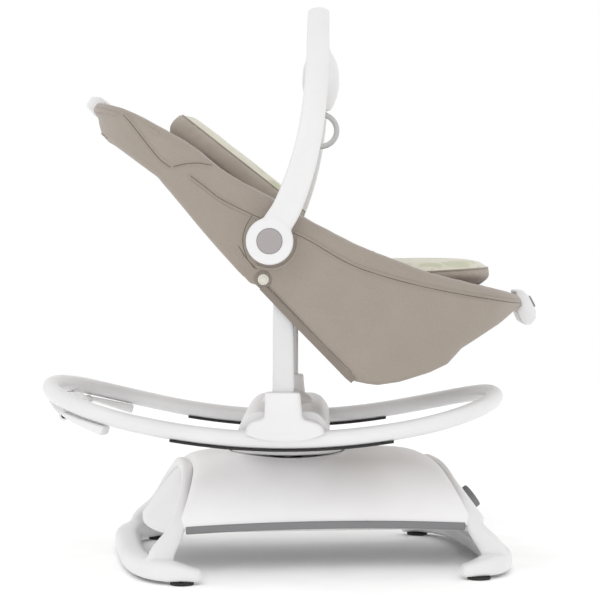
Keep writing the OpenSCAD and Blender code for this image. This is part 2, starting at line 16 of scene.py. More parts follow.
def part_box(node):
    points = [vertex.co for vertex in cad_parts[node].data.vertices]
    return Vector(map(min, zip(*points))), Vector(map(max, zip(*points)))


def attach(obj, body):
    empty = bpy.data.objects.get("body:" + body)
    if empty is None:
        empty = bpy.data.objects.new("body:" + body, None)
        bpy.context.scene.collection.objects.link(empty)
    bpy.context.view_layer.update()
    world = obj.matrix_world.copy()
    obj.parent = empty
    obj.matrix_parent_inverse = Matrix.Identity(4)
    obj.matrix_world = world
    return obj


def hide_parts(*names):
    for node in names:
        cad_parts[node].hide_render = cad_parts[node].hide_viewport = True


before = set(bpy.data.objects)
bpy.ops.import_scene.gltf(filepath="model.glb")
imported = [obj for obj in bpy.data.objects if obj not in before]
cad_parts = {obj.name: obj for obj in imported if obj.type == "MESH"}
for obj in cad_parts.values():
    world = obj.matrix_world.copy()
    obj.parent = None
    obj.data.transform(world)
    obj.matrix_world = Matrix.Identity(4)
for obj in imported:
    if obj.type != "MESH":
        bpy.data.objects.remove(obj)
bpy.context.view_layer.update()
scene = bpy.context.scene
METRE = 1000.0
SIDES = (("near", -1), ("far", 1))
ENDS = (("rear", -1), ("front", 1))
UP = (0, 0, 1)


def cad_box(*nodes):
    """Lowest and highest corner of some CAD nodes together, in millimetres."""
    corners = np.array([[list(c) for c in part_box(n)] for n in nodes]) * METRE
    return corners[:, 0].min(0), corners[:, 1].max(0)


# ---- Sizes from the frame

hub_low, hub_high = cad_box("near_hub")
HUB_X, HUB_Z = (hub_low[0] + hub_high[0]) / 2, (hub_low[2] + hub_high[2]) / 2
HUB_AT = (HUB_X, 0, HUB_Z)
HUB_R = (hub_high[0] - hub_low[0]) / 2
HUB_OUT, HUB_IN = -hub_low[1], -hub_high[1]
button_low, button_high = cad_box("near_button")
BUTTON_R = (button_high[0] - button_low[0]) / 2
rail_low, rail_high = cad_box("near_rail")
RAIL_Y = -(rail_low[1] + rail_high[1]) / 2
TUBE_R = (rail_high[1] - rail_low[1]) / 2
RAIL_X0, RAIL_X1 = rail_low[0], rail_high[0]
HOOP_END = -cad_box("rear_bow")[0][0] - TUBE_R
HOOP_FRONT = cad_box("front_bow")[1][0] - TUBE_R
RAIL_Z, RUNNER_R = 190.0, 1850.0
HOOP_POWER = 0.87
ring_low, ring_high = cad_box("seat_ring")
RING_R = 9.0
RING_X = (ring_low[0] + ring_high[0]) / 2
RING_HALF_X = (ring_high[0] - ring_low[0]) / 2 - RING_R
RING_HALF_Y = ring_high[1] - RING_R
SEAT_POWER = 2.4
# How far the rim's walls stand from the ring tube's middle, lengthways and sideways
WALL_X, WALL_Y = 11.5, 18.2
POST_LOW, POST_HIGH = cad_box("near_post")
POST_MID_X, POST_W = -1.0, 29.0
TURNTABLE_LOW, TURNTABLE_HIGH = cad_box("turntable")
TURNTABLE_R = TURNTABLE_HIGH[0]
COLLAR_LOW, COLLAR_HIGH = cad_box("dock_collar")
DOCK_R = COLLAR_HIGH[0] - 9.4

# The floor base is turned about the swing axis and moved forward.
BASE_YAW, BASE_SHIFT = math.radians(8), 32.0
BASE_TOP, BASE_EDGE_Z, BASE_HALF_W = 158.0, 68.0, 187.0

# ---- Number helpers


def points(*rows):
    return np.array(rows, float)


def unit(v):
    return v / np.linalg.norm(v, axis=-1, keepdims=True)


def full_turn(count):
    return 2 * math.pi * np.arange(count) / count


def signed_power(v, e):
    return np.sign(v) * np.abs(v) ** e


def smoothstep(v, low, high):
    t = np.clip((v - low) / (high - low), 0, 1)
    return t * t * (3 - 2 * t)


def walk(path):
    """Distance from a path's start to each of its points."""
    return np.concatenate([[0], np.cumsum(np.linalg.norm(np.diff(path, axis=0), axis=1))])


def smooth_path(control, steps):
    """Catmull-Rom curve through the control points, steps to a span."""
    p = np.vstack([2 * control[0] - control[1], control, 2 * control[-1] - control[-2]])
    t = (np.arange(steps) / steps)[:, None]
    spans = [
        0.5 * (2 * b + (c - a) * t + (2 * a - 5 * b + 4 * c - d) * t**2 + (3 * b - a - 3 * c + d) * t**3)
        for a, b, c, d in zip(p, p[1:], p[2:], p[3:])
    ]
    return np.vstack([*spans, control[-1:]])


def even_path(path, count):
    """The same path with count points an even distance apart."""
    walked = walk(path)
    at = np.linspace(0, walked[-1], count)
    return np.stack([np.interp(at, walked, path[:, k]) for k in range(path.shape[1])], axis=1)


def mirrored(path):
    """A path for the -Y half, followed back along its mirror image on the +Y half."""
    return np.vstack([path[::-1] * [1, -1, 1], path[1:]])


def on_base(p):
    """Base coordinates to the shared frame."""
    x, y = p[..., 0] + BASE_SHIFT, p[..., 1]
    c, s = math.cos(BASE_YAW), math.sin(BASE_YAW)
    return np.stack([x * c - y * s, x * s + y * c, p[..., 2]], axis=-1)


def ripple(p, size, seed):
    """Smooth wandering between -1 and 1, from a few fixed waves of about that wavelength."""
    rng = np.random.default_rng(seed)
    total = 0
    for _ in range(7):
        k = unit(rng.normal(size=3)) * 2 * math.pi / (size * rng.uniform(0.7, 1.6))
        total = total + np.sin(p @ k + rng.uniform(0, 2 * math.pi))
    return total / 7 * 1.6


# ---- Mesh helpers


def placed(name, data):
    obj = bpy.data.objects.new(name, data)
    scene.collection.objects.link(obj)
    return obj


def make(name, verts, faces, sharp=40.0):
    """Mesh object from millimetre points, with normals outwards and smooth up to the sharp angle."""
    mesh = bpy.data.meshes.new(name)
    mesh.from_pydata((np.asarray(verts) / METRE).tolist(), [], faces)
    obj = placed(name, mesh)
    finish_mesh(obj, sharp)
    return obj


def finish_mesh(obj, sharp=40.0, weld=1e-6):
    bm = bmesh.new()
    bm.from_mesh(obj.data)
    bmesh.ops.remove_doubles(bm, verts=bm.verts, dist=weld)
    bmesh.ops.dissolve_degenerate(bm, edges=bm.edges, dist=weld)
    bmesh.ops.recalc_face_normals(bm, faces=bm.faces)
    limit = math.radians(sharp)
    for f in bm.faces:
        f.smooth = True
    for e in bm.edges:
        e.smooth = len(e.link_faces) != 2 or e.calc_face_angle(0) < limit
    bm.to_mesh(obj.data)
    bm.free()
    obj.data.update()


def settle(obj):
    """Applies the modifiers of an object to its mesh."""
    bpy.context.view_layer.update()
    done = bpy.data.meshes.new_from_object(obj.evaluated_get(bpy.context.evaluated_depsgraph_get()))
    obj.modifiers.clear()
    old = obj.data
    obj.data = done
    bpy.data.meshes.remove(old)
    return obj


def modify(obj, kind, **settings):
    m = obj.modifiers.new(kind.title(), kind)
    for key, value in settings.items():
        setattr(m, key, value)
    return m


def bevel_edges(obj, width, segments, angle):
    modify(obj, "BEVEL", width=width / METRE, segments=segments, limit_method="ANGLE",
           angle_limit=math.radians(angle))
    settle(obj)


def thicken(obj, thickness, inside_out):
    """Thickens a sheet inwards, after turning it over if it is inside out."""
    if inside_out:
        obj.data.flip_normals()
    modify(obj, "SOLIDIFY", thickness=thickness / METRE, offset=-1)
    settle(obj)


def join(name, parts):
    """One object from several, which go."""
    bm = bmesh.new()
    for part in parts:
        bm.from_mesh(part.data)
    mesh = bpy.data.meshes.new(name)
    bm.to_mesh(mesh)
    bm.free()
    discard(*parts)
    return placed(name, mesh)


def discard(*objs):
    for o in objs:
        mesh = o.data
        bpy.data.objects.remove(o)
        bpy.data.meshes.remove(mesh)


def fuse(name, parts, voxel, smoothing, sharp=60.0):
    """Parts melted into one skin, with their meetings filleted."""
    obj = join(name, parts)
    modify(obj, "REMESH", mode="VOXEL", voxel_size=voxel / METRE)
    modify(obj, "SMOOTH", factor=0.5, iterations=smoothing)
    settle(obj)
    finish_mesh(obj, sharp)
    return obj


def cut(obj, *cutters):
    for c in cutters:
        modify(obj, "BOOLEAN", operation="DIFFERENCE", solver="MANIFOLD", object=c)
        settle(obj)
    discard(*cutters)


def skin_faces(rows, sides, closed=False):
    """Faces between rows of points that go round a form; closed joins the last row to the first."""
    last = rows if closed else rows - 1
    return [
        (j * sides + i, j * sides + (i + 1) % sides,
         (j + 1) % rows * sides + (i + 1) % sides, (j + 1) % rows * sides + i)
        for j in range(last) for i in range(sides)
    ]


def capped_faces(rows, sides):
    """The same with both ends shut."""
    return skin_faces(rows, sides) + [tuple(range(sides))[::-1], tuple(range((rows - 1) * sides, rows * sides))]


def sheet_faces(rows, columns):
    """Faces of a sheet of rows of points."""
    return [(j * columns + i, j * columns + i + 1, (j + 1) * columns + i + 1, (j + 1) * columns + i)
            for j in range(rows - 1) for i in range(columns - 1)]


def sweep(path, up, width, height, power=1.0, sides=24, closed=False, round_end=0.0, end_steps=4):
    """Tube of superellipse section along a path, width across up and height along it.
    Power 1 is an ellipse and smaller is squarer. Open ends are rounded by round_end."""
    path = np.asarray(path, float)
    rows = len(path)
    width = np.broadcast_to(np.asarray(width, float), rows).copy()
    height = np.broadcast_to(np.asarray(height, float), rows).copy()
    up = np.broadcast_to(np.asarray(up, float), path.shape).copy()
    if closed:
        along = unit(np.roll(path, -1, 0) - np.roll(path, 1, 0))
    else:
        along = unit(np.gradient(path, axis=0))
    if round_end and not closed:
        steps = np.linspace(0, math.pi / 2, end_steps + 1)[1:]
        for end, outwards in ((0, -1), (-1, 1)):
            p, a = path[end], along[end]
            extra = np.array([p + a * outwards * round_end * (math.sin(s) - 1) for s in steps])
            lost = np.array([2 * round_end * (1 - math.cos(s)) for s in steps])
            new = [extra, [a] * end_steps, [up[end]] * end_steps, width[end] - lost, height[end] - lost]
            path[end] = p - a * outwards * round_end
            old = [path, along, up, width, height]
            path, along, up, width, height = (
                np.concatenate([n[::-1], o] if end == 0 else [o, n]) for n, o in zip(new, old))
        rows = len(path)
    side = unit(np.cross(along, up))
    top = np.cross(side, along)
    turn = full_turn(sides)
    a = signed_power(np.cos(turn), power) / 2
    b = signed_power(np.sin(turn), power) / 2
    ring = (path[:, None] + side[:, None] * (np.maximum(width, 0.2)[:, None] * a)[..., None]
            + top[:, None] * (np.maximum(height, 0.2)[:, None] * b)[..., None])
    return ring.reshape(-1, 3), skin_faces(rows, sides, True) if closed else capped_faces(rows, sides)


def tube(name, path, up, width, height, **shape):
    return make(name, *sweep(path, up, width, height, **shape), sharp=50.0)


def lathe(name, profile, origin, axis, sides=64, wave=None, sharp=35.0):
    """Solid of revolution. profile holds (radius, height along the axis), first and last on the axis.
    wave is a function of the angle and the profile's index that scales the radius."""
    origin, axis = np.array(origin, float), unit(np.array(axis, float))
    across = unit(np.cross(axis, [0.31, 0.2, 0.93]))
    other = np.cross(axis, across)
    turn = full_turn(sides)
    rows = []
    for k, (r, h) in enumerate(profile):
        radius = r * (wave(turn, k) if wave else 1)
        rows.append(origin + axis * h + across * (radius * np.cos(turn))[:, None]
                    + other * (radius * np.sin(turn))[:, None])
    return make(name, np.vstack(rows), capped_faces(len(rows), sides), sharp=sharp)


def drill(obj, radius, start, end, origin, axis, sides=64):
    """Cuts a round hole along an axis, from start to end along it."""
    cut(obj, lathe("cut", [(0, start), (radius, start), (radius, end), (0, end)], origin, axis, sides))


def turned_ring(name, profile, sides):
    """Ring about the swing axis. profile holds (radius, height), and goes all round the section."""
    turn = full_turn(sides)
    rows = [np.stack([r * np.cos(turn), r * np.sin(turn), h + np.zeros(sides)], axis=1) for r, h in profile]
    return make(name, np.vstack(rows), skin_faces(len(rows), sides, True), 35)


def arc(radius, a0, a1, steps):
    """Points on an arc about nought, angles in degrees."""
    return [(radius * math.cos(math.radians(a)), radius * math.sin(math.radians(a)))
            for a in np.linspace(a0, a1, steps)]


def prism(name, outline, y0, y1):
    """Flat outline in X and Z, thick from y0 to y1."""
    verts = [(p[0], y, p[1]) for y in (y0, y1) for p in outline]
    n = len(outline)
    return make(name, verts, [tuple(range(n)), tuple(range(2 * n - 1, n - 1, -1))]
                + [(i, n + i, n + (i + 1) % n, (i + 1) % n) for i in range(n)])


def plate(name, outline, y0, y1, bevel=2.0, corner=0.0):
    """The same, with its corners rounded in plan and its edges bevelled."""
    outline = [np.array(p, float) for p in outline]
    if corner:
        rounded = []
        for k, p in enumerate(outline):
            before, after = outline[k - 1], outline[(k + 1) % len(outline)]
            reach = min(corner, np.linalg.norm(before - p) / 2.2, np.linalg.norm(after - p) / 2.2)
            a, b = p + unit(before - p) * reach, p + unit(after - p) * reach
            rounded += [(1 - t) ** 2 * a + 2 * t * (1 - t) * p + t * t * b for t in (0, 0.25, 0.5, 0.75, 1)]
        outline = rounded
    obj = prism(name, outline, y0, y1)
    bm = bmesh.new()
    bm.from_mesh(obj.data)
    edges = [e for e in bm.edges if e.calc_face_angle(0) > math.radians(30)]
    bmesh.ops.bevel(bm, geom=edges, offset=bevel / METRE, segments=3, profile=0.5, affect="EDGES",
                    clamp_overlap=True)
    bm.to_mesh(obj.data)
    bm.free()
    finish_mesh(obj)
    return obj


def loft(name, sections, sides=40, power=0.45):
    """Rounded rectangles (x0, x1, y0, y1, z) stacked up."""
    turn = full_turn(sides)
    a, b = signed_power(np.cos(turn), power), signed_power(np.sin(turn), power)
    rows = [np.stack([(x0 + x1) / 2 + (x1 - x0) / 2 * a, (y0 + y1) / 2 + (y1 - y0) / 2 * b,
                      np.full(sides, z)], axis=1) for x0, x1, y0, y1, z in sections]
    return make(name, np.vstack(rows), capped_faces(len(rows), sides))


def add(obj, body, material, *replaced):
    """Gives a piece its body, its material and the CAD nodes that it stands for."""
    if material:
        obj.data.materials.clear()
        obj.data.materials.append(material)
    if replaced:
        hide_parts(*replaced)
    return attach(obj, body)


def refined(name, node, body, material, bevel):
    """A CAD node with every sharp edge rounded."""
    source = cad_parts[node]
    mesh = source.data.copy()
    mesh.transform(source.matrix_world)
    mesh.materials.clear()
    obj = placed(name, mesh)
    bm = bmesh.new()
    bm.from_mesh(mesh)
    bmesh.ops.remove_doubles(bm, verts=bm.verts, dist=1e-5)
    bmesh.ops.dissolve_limit(bm, angle_limit=math.radians(1), verts=bm.verts, edges=bm.edges)
    bm.to_mesh(mesh)
    bm.free()
    bevel_edges(obj, bevel, 3, 30)
    finish_mesh(obj, 45)
    modify(obj, "WEIGHTED_NORMAL", keep_sharp=True)
    settle(obj)
    return add(obj, body, material, node)


# ---- Materials


class Graph:
    """A material's nodes, wired by short calls."""

    def __init__(self, name):
        self.material = bpy.data.materials.new(name)
        self.material.use_nodes = True
        self.tree = self.material.node_tree
        self.shader = self.tree.nodes["Principled BSDF"]
        self.place = self.node("ShaderNodeTexCoord").outputs["Object"]

    def feed(self, node, inputs):
        """Links or sets a node's inputs, by name or number."""
        for key, value in inputs.items():
            if isinstance(value, bpy.types.NodeSocket):
                self.tree.links.new(value, node.inputs[key])
            else:
                node.inputs[key].default_value = value

    def node(self, kind, inputs=None, **settings):
        n = self.tree.nodes.new(kind)
        for key, value in settings.items():
            setattr(n, key, value)
        self.feed(n, inputs or {})
        return n

    def math(self, operation, *values):
        return self.node("ShaderNodeMath", dict(enumerate(values)), operation=operation).outputs[0]

    def noise(self, size, detail=3.0, vector=None):
        """Noise whose blotches are about size millimetres."""
        inputs = {"Vector": vector or self.place, "Scale": METRE / size, "Detail": detail}
        return self.node("ShaderNodeTexNoise", inputs).outputs["Fac"]

    def stretched(self, vector, scale):
        return self.node("ShaderNodeMapping", {"Vector": vector, "Scale": scale}).outputs[0]

    def cells(self, vector, size):
        inputs = {"Vector": vector, "Scale": METRE / size}
        return self.node("ShaderNodeTexVoronoi", inputs, feature="F1").outputs["Distance"]

    def ramp(self, value, *stops):
        n = self.node("ShaderNodeValToRGB", {0: value})
        for e, (at, colour) in zip(n.color_ramp.elements, stops):
            e.position = at
            e.color = (*colour, 1)
        return n.outputs["Color"]

    def within(self, value, low, high):
        """1 below low, falling to 0 at high."""
        return self.ramp(value, (low, (1, 1, 1)), (high, (0, 0, 0)))

    def mix(self, fac, a, b):
        a, b = (c if isinstance(c, bpy.types.NodeSocket) else (*c, 1) for c in (a, b))
        return self.node("ShaderNodeMix", {"Factor": fac, 6: a, 7: b}, data_type="RGBA").outputs[2]

    def between(self, value, low, high):
        return self.node("ShaderNodeMapRange", {"Value": value, "To Min": low, "To Max": high}).outputs["Result"]

    def bump(self, height, depth, strength=1.0, below=None):
        """Bump depth millimetres deep, on top of another bump."""
        inputs = {"Strength": strength, "Distance": depth / METRE, "Height": height}
        if below:
            inputs["Normal"] = below
        return self.node("ShaderNodeBump", inputs).outputs["Normal"]

    def threads(self, pitch):
        """Plain weave of that pitch in millimetres, laid on whichever plane the surface faces."""
        split = self.node("ShaderNodeSeparateXYZ", {0: self.place})
        x, y, z = (self.math("MULTIPLY", o, math.pi * METRE / pitch) for o in split.outputs)
        facing = self.node("ShaderNodeSeparateXYZ", {0: self.node("ShaderNodeTexCoord").outputs["Normal"]})
        weights = [self.math("POWER", self.math("ABSOLUTE", o), 4.0) for o in facing.outputs]
        a, b, c = (self.math("MULTIPLY", w, self.crossed(*pair))
                   for w, pair in zip(weights, ((y, z), (x, z), (x, y))))
        return self.math("ADD", self.math("ADD", a, b), c)

    def crossed(self, a, b):
        """Height of two crossing sets of threads that pass over each other in turn."""
        sa = self.math("SINE", a)
        over = self.math("GREATER_THAN", self.math("MULTIPLY", sa, self.math("SINE", b)), 0.0)
        warp = self.math("ABSOLUTE", sa)
        weft = self.math("ABSOLUTE", self.math("COSINE", b))
        return self.math("ADD", self.math("MULTIPLY", over, warp),
                         self.math("MULTIPLY", self.math("SUBTRACT", 1.0, over), weft))

    def fibres(self, sheen, specular):
        self.feed(self.shader, {"Sheen Weight": sheen, "Sheen Roughness": 0.5, "Specular IOR Level": specular})

    def finish(self, colour, roughness, normal):
        self.feed(self.shader, {"Base Color": colour, "Roughness": roughness, "Normal": normal})
        return self.material


def tinted(colour, factor):
    return tuple(min(1.0, c * factor) for c in colour)


def plastic(name, colour, roughness=0.38, grain=0.035, grain_size=0.7):
    """Moulded plastic: fine spark-eroded grain, faint flow marks, a little uneven gloss."""
    g = Graph(name)
    shade = g.ramp(g.noise(90, 2), (0.3, tinted(colour, 0.975)), (0.7, tinted(colour, 1.012)))
    normal = g.bump(g.noise(grain_size, 2), grain, 0.5)
    normal = g.bump(g.noise(45, 1), 0.12, 0.25, normal)
    return g.finish(shade, g.between(g.noise(14, 4), roughness - 0.06, roughness + 0.07), normal)


def metal(name, colour, roughness=0.3):
    """Drawn or turned metal with fine scratches."""
    g = Graph(name)
    scratches = g.noise(0.8, 4, g.stretched(g.place, (1.0, 0.08, 1.0)))
    shade = g.ramp(g.noise(20, 3), (0.3, tinted(colour, 0.9)), (0.7, tinted(colour, 1.05)))
    g.shader.inputs["Metallic"].default_value = 1.0
    return g.finish(shade, g.between(scratches, roughness - 0.08, roughness + 0.14), g.bump(scratches, 0.02, 0.4))


def rubber(name, colour):
    """Matt rubber with a sandy face."""
    g = Graph(name)
    shade = g.ramp(g.noise(6, 4), (0.3, tinted(colour, 0.8)), (0.7, tinted(colour, 1.3)))
    return g.finish(shade, g.between(g.noise(3, 2), 0.72, 0.9), g.bump(g.noise(0.5, 3), 0.08, 0.6))


def cloth(name, colour, pitch=1.1, depth=0.16):
    """Woven cover fabric: two sets of threads with painted shade in the low places between them, a slight melange,
    soft sheen and slow unevenness.
    """
    g = Graph(name)
    weave = g.threads(pitch)
    flecks = g.noise(1.6, 4)
    base = g.ramp(g.noise(55, 3), (0.25, tinted(colour, 0.95)), (0.75, tinted(colour, 1.05)))
    fleck = g.ramp(flecks, (0.35, tinted(colour, 0.86)), (0.65, tinted(colour, 1.12)))
    # The low places between the threads are darker: painted shade.
    shade = g.mix(g.between(weave, 0.16, 0.0), g.mix(0.35, base, fleck), tinted(colour, 0.7))
    g.fibres(0.25, 0.25)
    normal = g.bump(weave, depth, 0.55)
    normal = g.bump(g.noise(5, 3), 0.25, 0.2, normal)
    normal = g.bump(g.noise(38, 2), 1.2, 0.35, normal)
    return g.finish(shade, g.between(flecks, 0.8, 0.92), normal)


def print_cloth(name, ground, leaf, dark):
    """Soft knitted cotton with a loose print of leaf shapes and small sprigs."""
    g = Graph(name)
    wander = g.node("ShaderNodeTexNoise", {"Vector": g.place, "Scale": METRE / 60}).outputs["Color"]
    shift = g.node("ShaderNodeVectorMath", {0: wander, "Scale": 0.03}, operation="SCALE")
    warped = g.node("ShaderNodeVectorMath", {0: g.place, 1: shift.outputs[0]}, operation="ADD").outputs[0]
    leaves = g.cells(g.stretched(warped, (1.0, 2.1, 1.4)), 62)
    sprigs = g.within(g.cells(warped, 34), 0.07, 0.1)
    weave = g.threads(1.3)
    base = g.ramp(g.noise(40, 3), (0.3, tinted(ground, 0.965)), (0.7, tinted(ground, 1.02)))
    shade = g.mix(g.math("MULTIPLY", g.within(leaves, 0.30, 0.36), 0.85), base, leaf)
    shade = g.mix(g.math("MULTIPLY", g.within(leaves, 0.035, 0.06), 0.5), shade, dark)
    shade = g.mix(g.math("MULTIPLY", sprigs, 0.55), shade, dark)
    # The low places between the threads are darker: painted shade.
    shade = g.mix(g.between(weave, 0.1, 0.0), shade, tinted(ground, 0.75))
    g.fibres(0.3, 0.2)
    normal = g.bump(weave, 0.14, 0.5)
    normal = g.bump(g.noise(16, 3), 1.0, 0.3, normal)
    return g.finish(shade, g.between(g.noise(2, 3), 0.84, 0.95), normal)


def ribbon(name, colour):
    """Harness webbing: diagonal twill ribs, with painted shade in their hollows and a painted highlight on their
    crests.
    """
    g = Graph(name)
    ribs = g.node("ShaderNodeTexWave", {"Vector": g.place, "Scale": METRE / 6.0, "Distortion": 0.4},
                  bands_direction="DIAGONAL").outputs["Fac"]
    # Darker in the rib hollows and lighter on the crests: painted shade and painted highlight.
    shade = g.mix(ribs, tinted(colour, 0.82), tinted(colour, 1.05))
    return g.finish(shade, g.between(g.noise(2, 3), 0.7, 0.85), g.bump(ribs, 0.25, 0.7))


def board(name, colour):
    """Circuit board: solder resist with copper tracks."""
    g = Graph(name)
    bricks = g.node("ShaderNodeTexBrick", {
        "Vector": g.place, "Scale": METRE / 9, "Color1": (*colour, 1), "Color2": (*tinted(colour, 0.8), 1),
        "Mortar": (*tinted(colour, 1.6), 1)})
    return g.finish(bricks.outputs["Color"], g.between(g.noise(4, 2), 0.3, 0.5),
                    g.bump(bricks.outputs["Fac"], 0.05, 0.5))


TAUPE = (0.352, 0.306, 0.262)
WHITE = plastic("white_plastic", (0.785, 0.78, 0.785), 0.36)
# A lighter copy of the white plastic for the base cover: painted light that brightens the cover against the shade it
# lies in.
COVER_WHITE_LIT = plastic("cover_white_plastic_painted_light", (0.88, 0.87, 0.875), 0.36)
POST_PAINT = plastic("post_paint", (0.77, 0.77, 0.775), 0.3, grain=0.02)
# A darker copy of the post paint for the posts: painted shade, as they stand under the seat.
POST_PAINT_SHADED = plastic("post_paint_painted_shade", (0.69, 0.69, 0.695), 0.3, grain=0.02)
GREY = plastic("grey_plastic", (0.205, 0.205, 0.21), 0.42)
DISC_GREY = plastic("light_grey_plastic", (0.365, 0.34, 0.335), 0.45, grain=0.05, grain_size=0.5)
RING_GREY = plastic("ring_grey", (0.52, 0.525, 0.525), 0.34)
BLACK = plastic("black_plastic", (0.02, 0.02, 0.022), 0.5)
RUBBER = rubber("rubber", (0.022, 0.021, 0.021))
RELEASE_GREY = plastic("release_grey", (0.22, 0.215, 0.215), 0.4)
STEEL = metal("steel", (0.62, 0.62, 0.64))
BOARD = board("board", (0.03, 0.12, 0.06))
SHELL_CLOTH = cloth("shell_fabric", TAUPE)
# A darker copy of the shell fabric for the head binding, hem band and snap tabs: painted shade where they turn in and
# away from the light.
SHELL_SHADED = cloth("shell_fabric_painted_shade", tinted(TAUPE, 0.72))
LINER_CLOTH = cloth("liner_fabric", tinted(TAUPE, 1.04), pitch=1.4, depth=0.2)
# A lighter copy of the shell fabric for the pads' sides: painted light against the shade under the pads' rounded tops.
PAD_SIDE_LIT = cloth("pad_side_fabric_painted_light", tinted(TAUPE, 1.12), pitch=1.3, depth=0.18)
PAD_PRINT = print_cloth("pad_fabric", (0.68, 0.655, 0.55), (0.53, 0.545, 0.39), (0.32, 0.32, 0.24))
PIPING = cloth("piping", tinted(TAUPE, 0.9), pitch=0.8)
# The seam threads are very dark: part real thread, part painted shade for the grooves they lie in.
SEAM_SHADE_THREAD = cloth("seam_thread", tinted(TAUPE, 0.40), pitch=0.5, depth=0.05)
STITCH = cloth("top_stitch", tinted(TAUPE, 0.8), pitch=0.5, depth=0.05)
WEBBING = ribbon("webbing", (0.30, 0.27, 0.235))
SNAP = plastic("snap_plastic", (0.66, 0.635, 0.56), 0.32)

# CAD nodes whose own shape stays, with their finishes
CAD_FINISH = {
    WHITE: ["base_tray", "stabiliser_pins"],
    GREY: ["gearbox", "drive_gear"],
    RUBBER: ["near_rubber_strip", "far_rubber_strip"],
    STEEL: ["tray_screws", "swing_bearing", "drive_motor", "motor_pinion", "swing_shaft", "seat_pivot_pins"],
    BOARD: ["circuit_board"],
    BLACK: ["dial_encoder", "power_socket"],
}
for cad_finish, cad_names in CAD_FINISH.items():
    for cad_name in cad_names:
        cad_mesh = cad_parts[cad_name].data
        cad_mesh.materials.clear()
        cad_mesh.materials.append(cad_finish)


# ---- Floor base


def cover_arch(y):
    """Height of the cover's arch."""
    rise = BASE_TOP - BASE_EDGE_Z
    return BASE_EDGE_Z + rise * (1 - (np.abs(y) / BASE_HALF_W) ** 3.5).clip(0) ** 0.8


# The cover's ends roll down to meet the leg arches.
COVER_END, ROLL_START, ROLL_DROP, COVER_THICK = 168.0, 112.0, 15.0, 3.0
WELL_GAP, WELL_FLOOR, WELL_FLOOR_THICK, BEARING_GAP_R = 4.0, 146.0, 3.0, 26.2


def build_base_cover():
    across, along = 73, 33
    y = BASE_HALF_W * np.sin(np.linspace(-math.pi / 2, math.pi / 2, across))
    z = cover_arch(y)
    end_x = 171 + (167 - z) * 38 / 108
    rows = []
    for f in np.sin(np.linspace(-math.pi / 2, math.pi / 2, along)):
        rolled = (abs(f) * COVER_END - ROLL_START) / (COVER_END - ROLL_START)
        drop = ROLL_DROP * (1 - math.sqrt(1 - max(0.0, rolled) ** 2))
        rows.append(np.stack([end_x * f, y, z - drop * (z - BASE_EDGE_Z) / (BASE_TOP - BASE_EDGE_Z)], axis=1))
    faces = sheet_faces(along, across)
    shell = make("base_shell", on_base(np.vstack(rows)), faces)
    thicken(shell, COVER_THICK, shell.data.polygons[len(faces) // 2].normal.z < 0)
    finish_mesh(shell)
    well_r = TURNTABLE_R + WELL_GAP
    drill(shell, well_r, 120, 190, (0, 0, 0), UP, 96)
    bevel_edges(shell, 0.9, 2, 50)
    # The cup that the turntable turns in; its lip follows the arch.
    turn = full_turn(96)
    lip = cover_arch(-np.sin(BASE_YAW) * np.cos(turn) * well_r + np.cos(BASE_YAW) * np.sin(turn) * well_r) - 0.6
    top = WELL_FLOOR + WELL_FLOOR_THICK
    profile = [(BEARING_GAP_R, 136), (30, 136), (30, WELL_FLOOR), (well_r + 2.8, WELL_FLOOR), (well_r + 2.8, lip),
               (well_r, lip), (well_r, top + 2), (well_r - 2, top), (BEARING_GAP_R, top)]
    cup = turned_ring("cup", profile, 96)
    # The cover takes the lighter white, which is painted light.
    add(join("base_shell_cover", [shell, cup]), "base", COVER_WHITE_LIT, "base_cover")


TRIM_END, TRIM_LOW, TRIM_RISE, TRIM_H = 194.0, 65.9, 5.0, 10.5


def build_trims():
    for name, s in SIDES:
        x = np.linspace(-TRIM_END, TRIM_END, 60)
        z = TRIM_LOW + TRIM_RISE * (1 - (x / (TRIM_END + 1)) ** 2)
        path = np.stack([x, np.full_like(x, s * (BASE_HALF_W - 0.5)), z], axis=1)
        band = tube(f"{name}_trim_band", on_base(path), UP, 5.4, TRIM_H, power=0.5, round_end=1.5)
        add(band, "base", GREY, f"{name}_trim")


# Half of a leg arch, from its crown down to the floor, and its height there
STRUT = points((180, 0, 137), (180, 45, 136), (182, 84, 130), (186, 120, 117), (193, 150, 99), (201, 172, 79),
               (211, 188, 60), (227, 205, 38), (233, 214, 20))
STRUT_H = points((20, 0), (20, 0), (20, 0), (20, 0), (21, 0), (22, 0), (25, 0), (34, 0), (38, 0))
STRUT_W = 17.0
# The floor bar goes round from foot to foot; its ends thin out from LOOP_TAPER on.
TIP_X, FOOT_Y, REACH, LOOP_TAPER = 175.0, 240.0, {"rear": 85.0, "front": 79.0}, 0.83
LOOP_W, LOOP_H, FLOOR_GAP, LEG_POWER = 37.0, 28.0, 4.0, 0.66


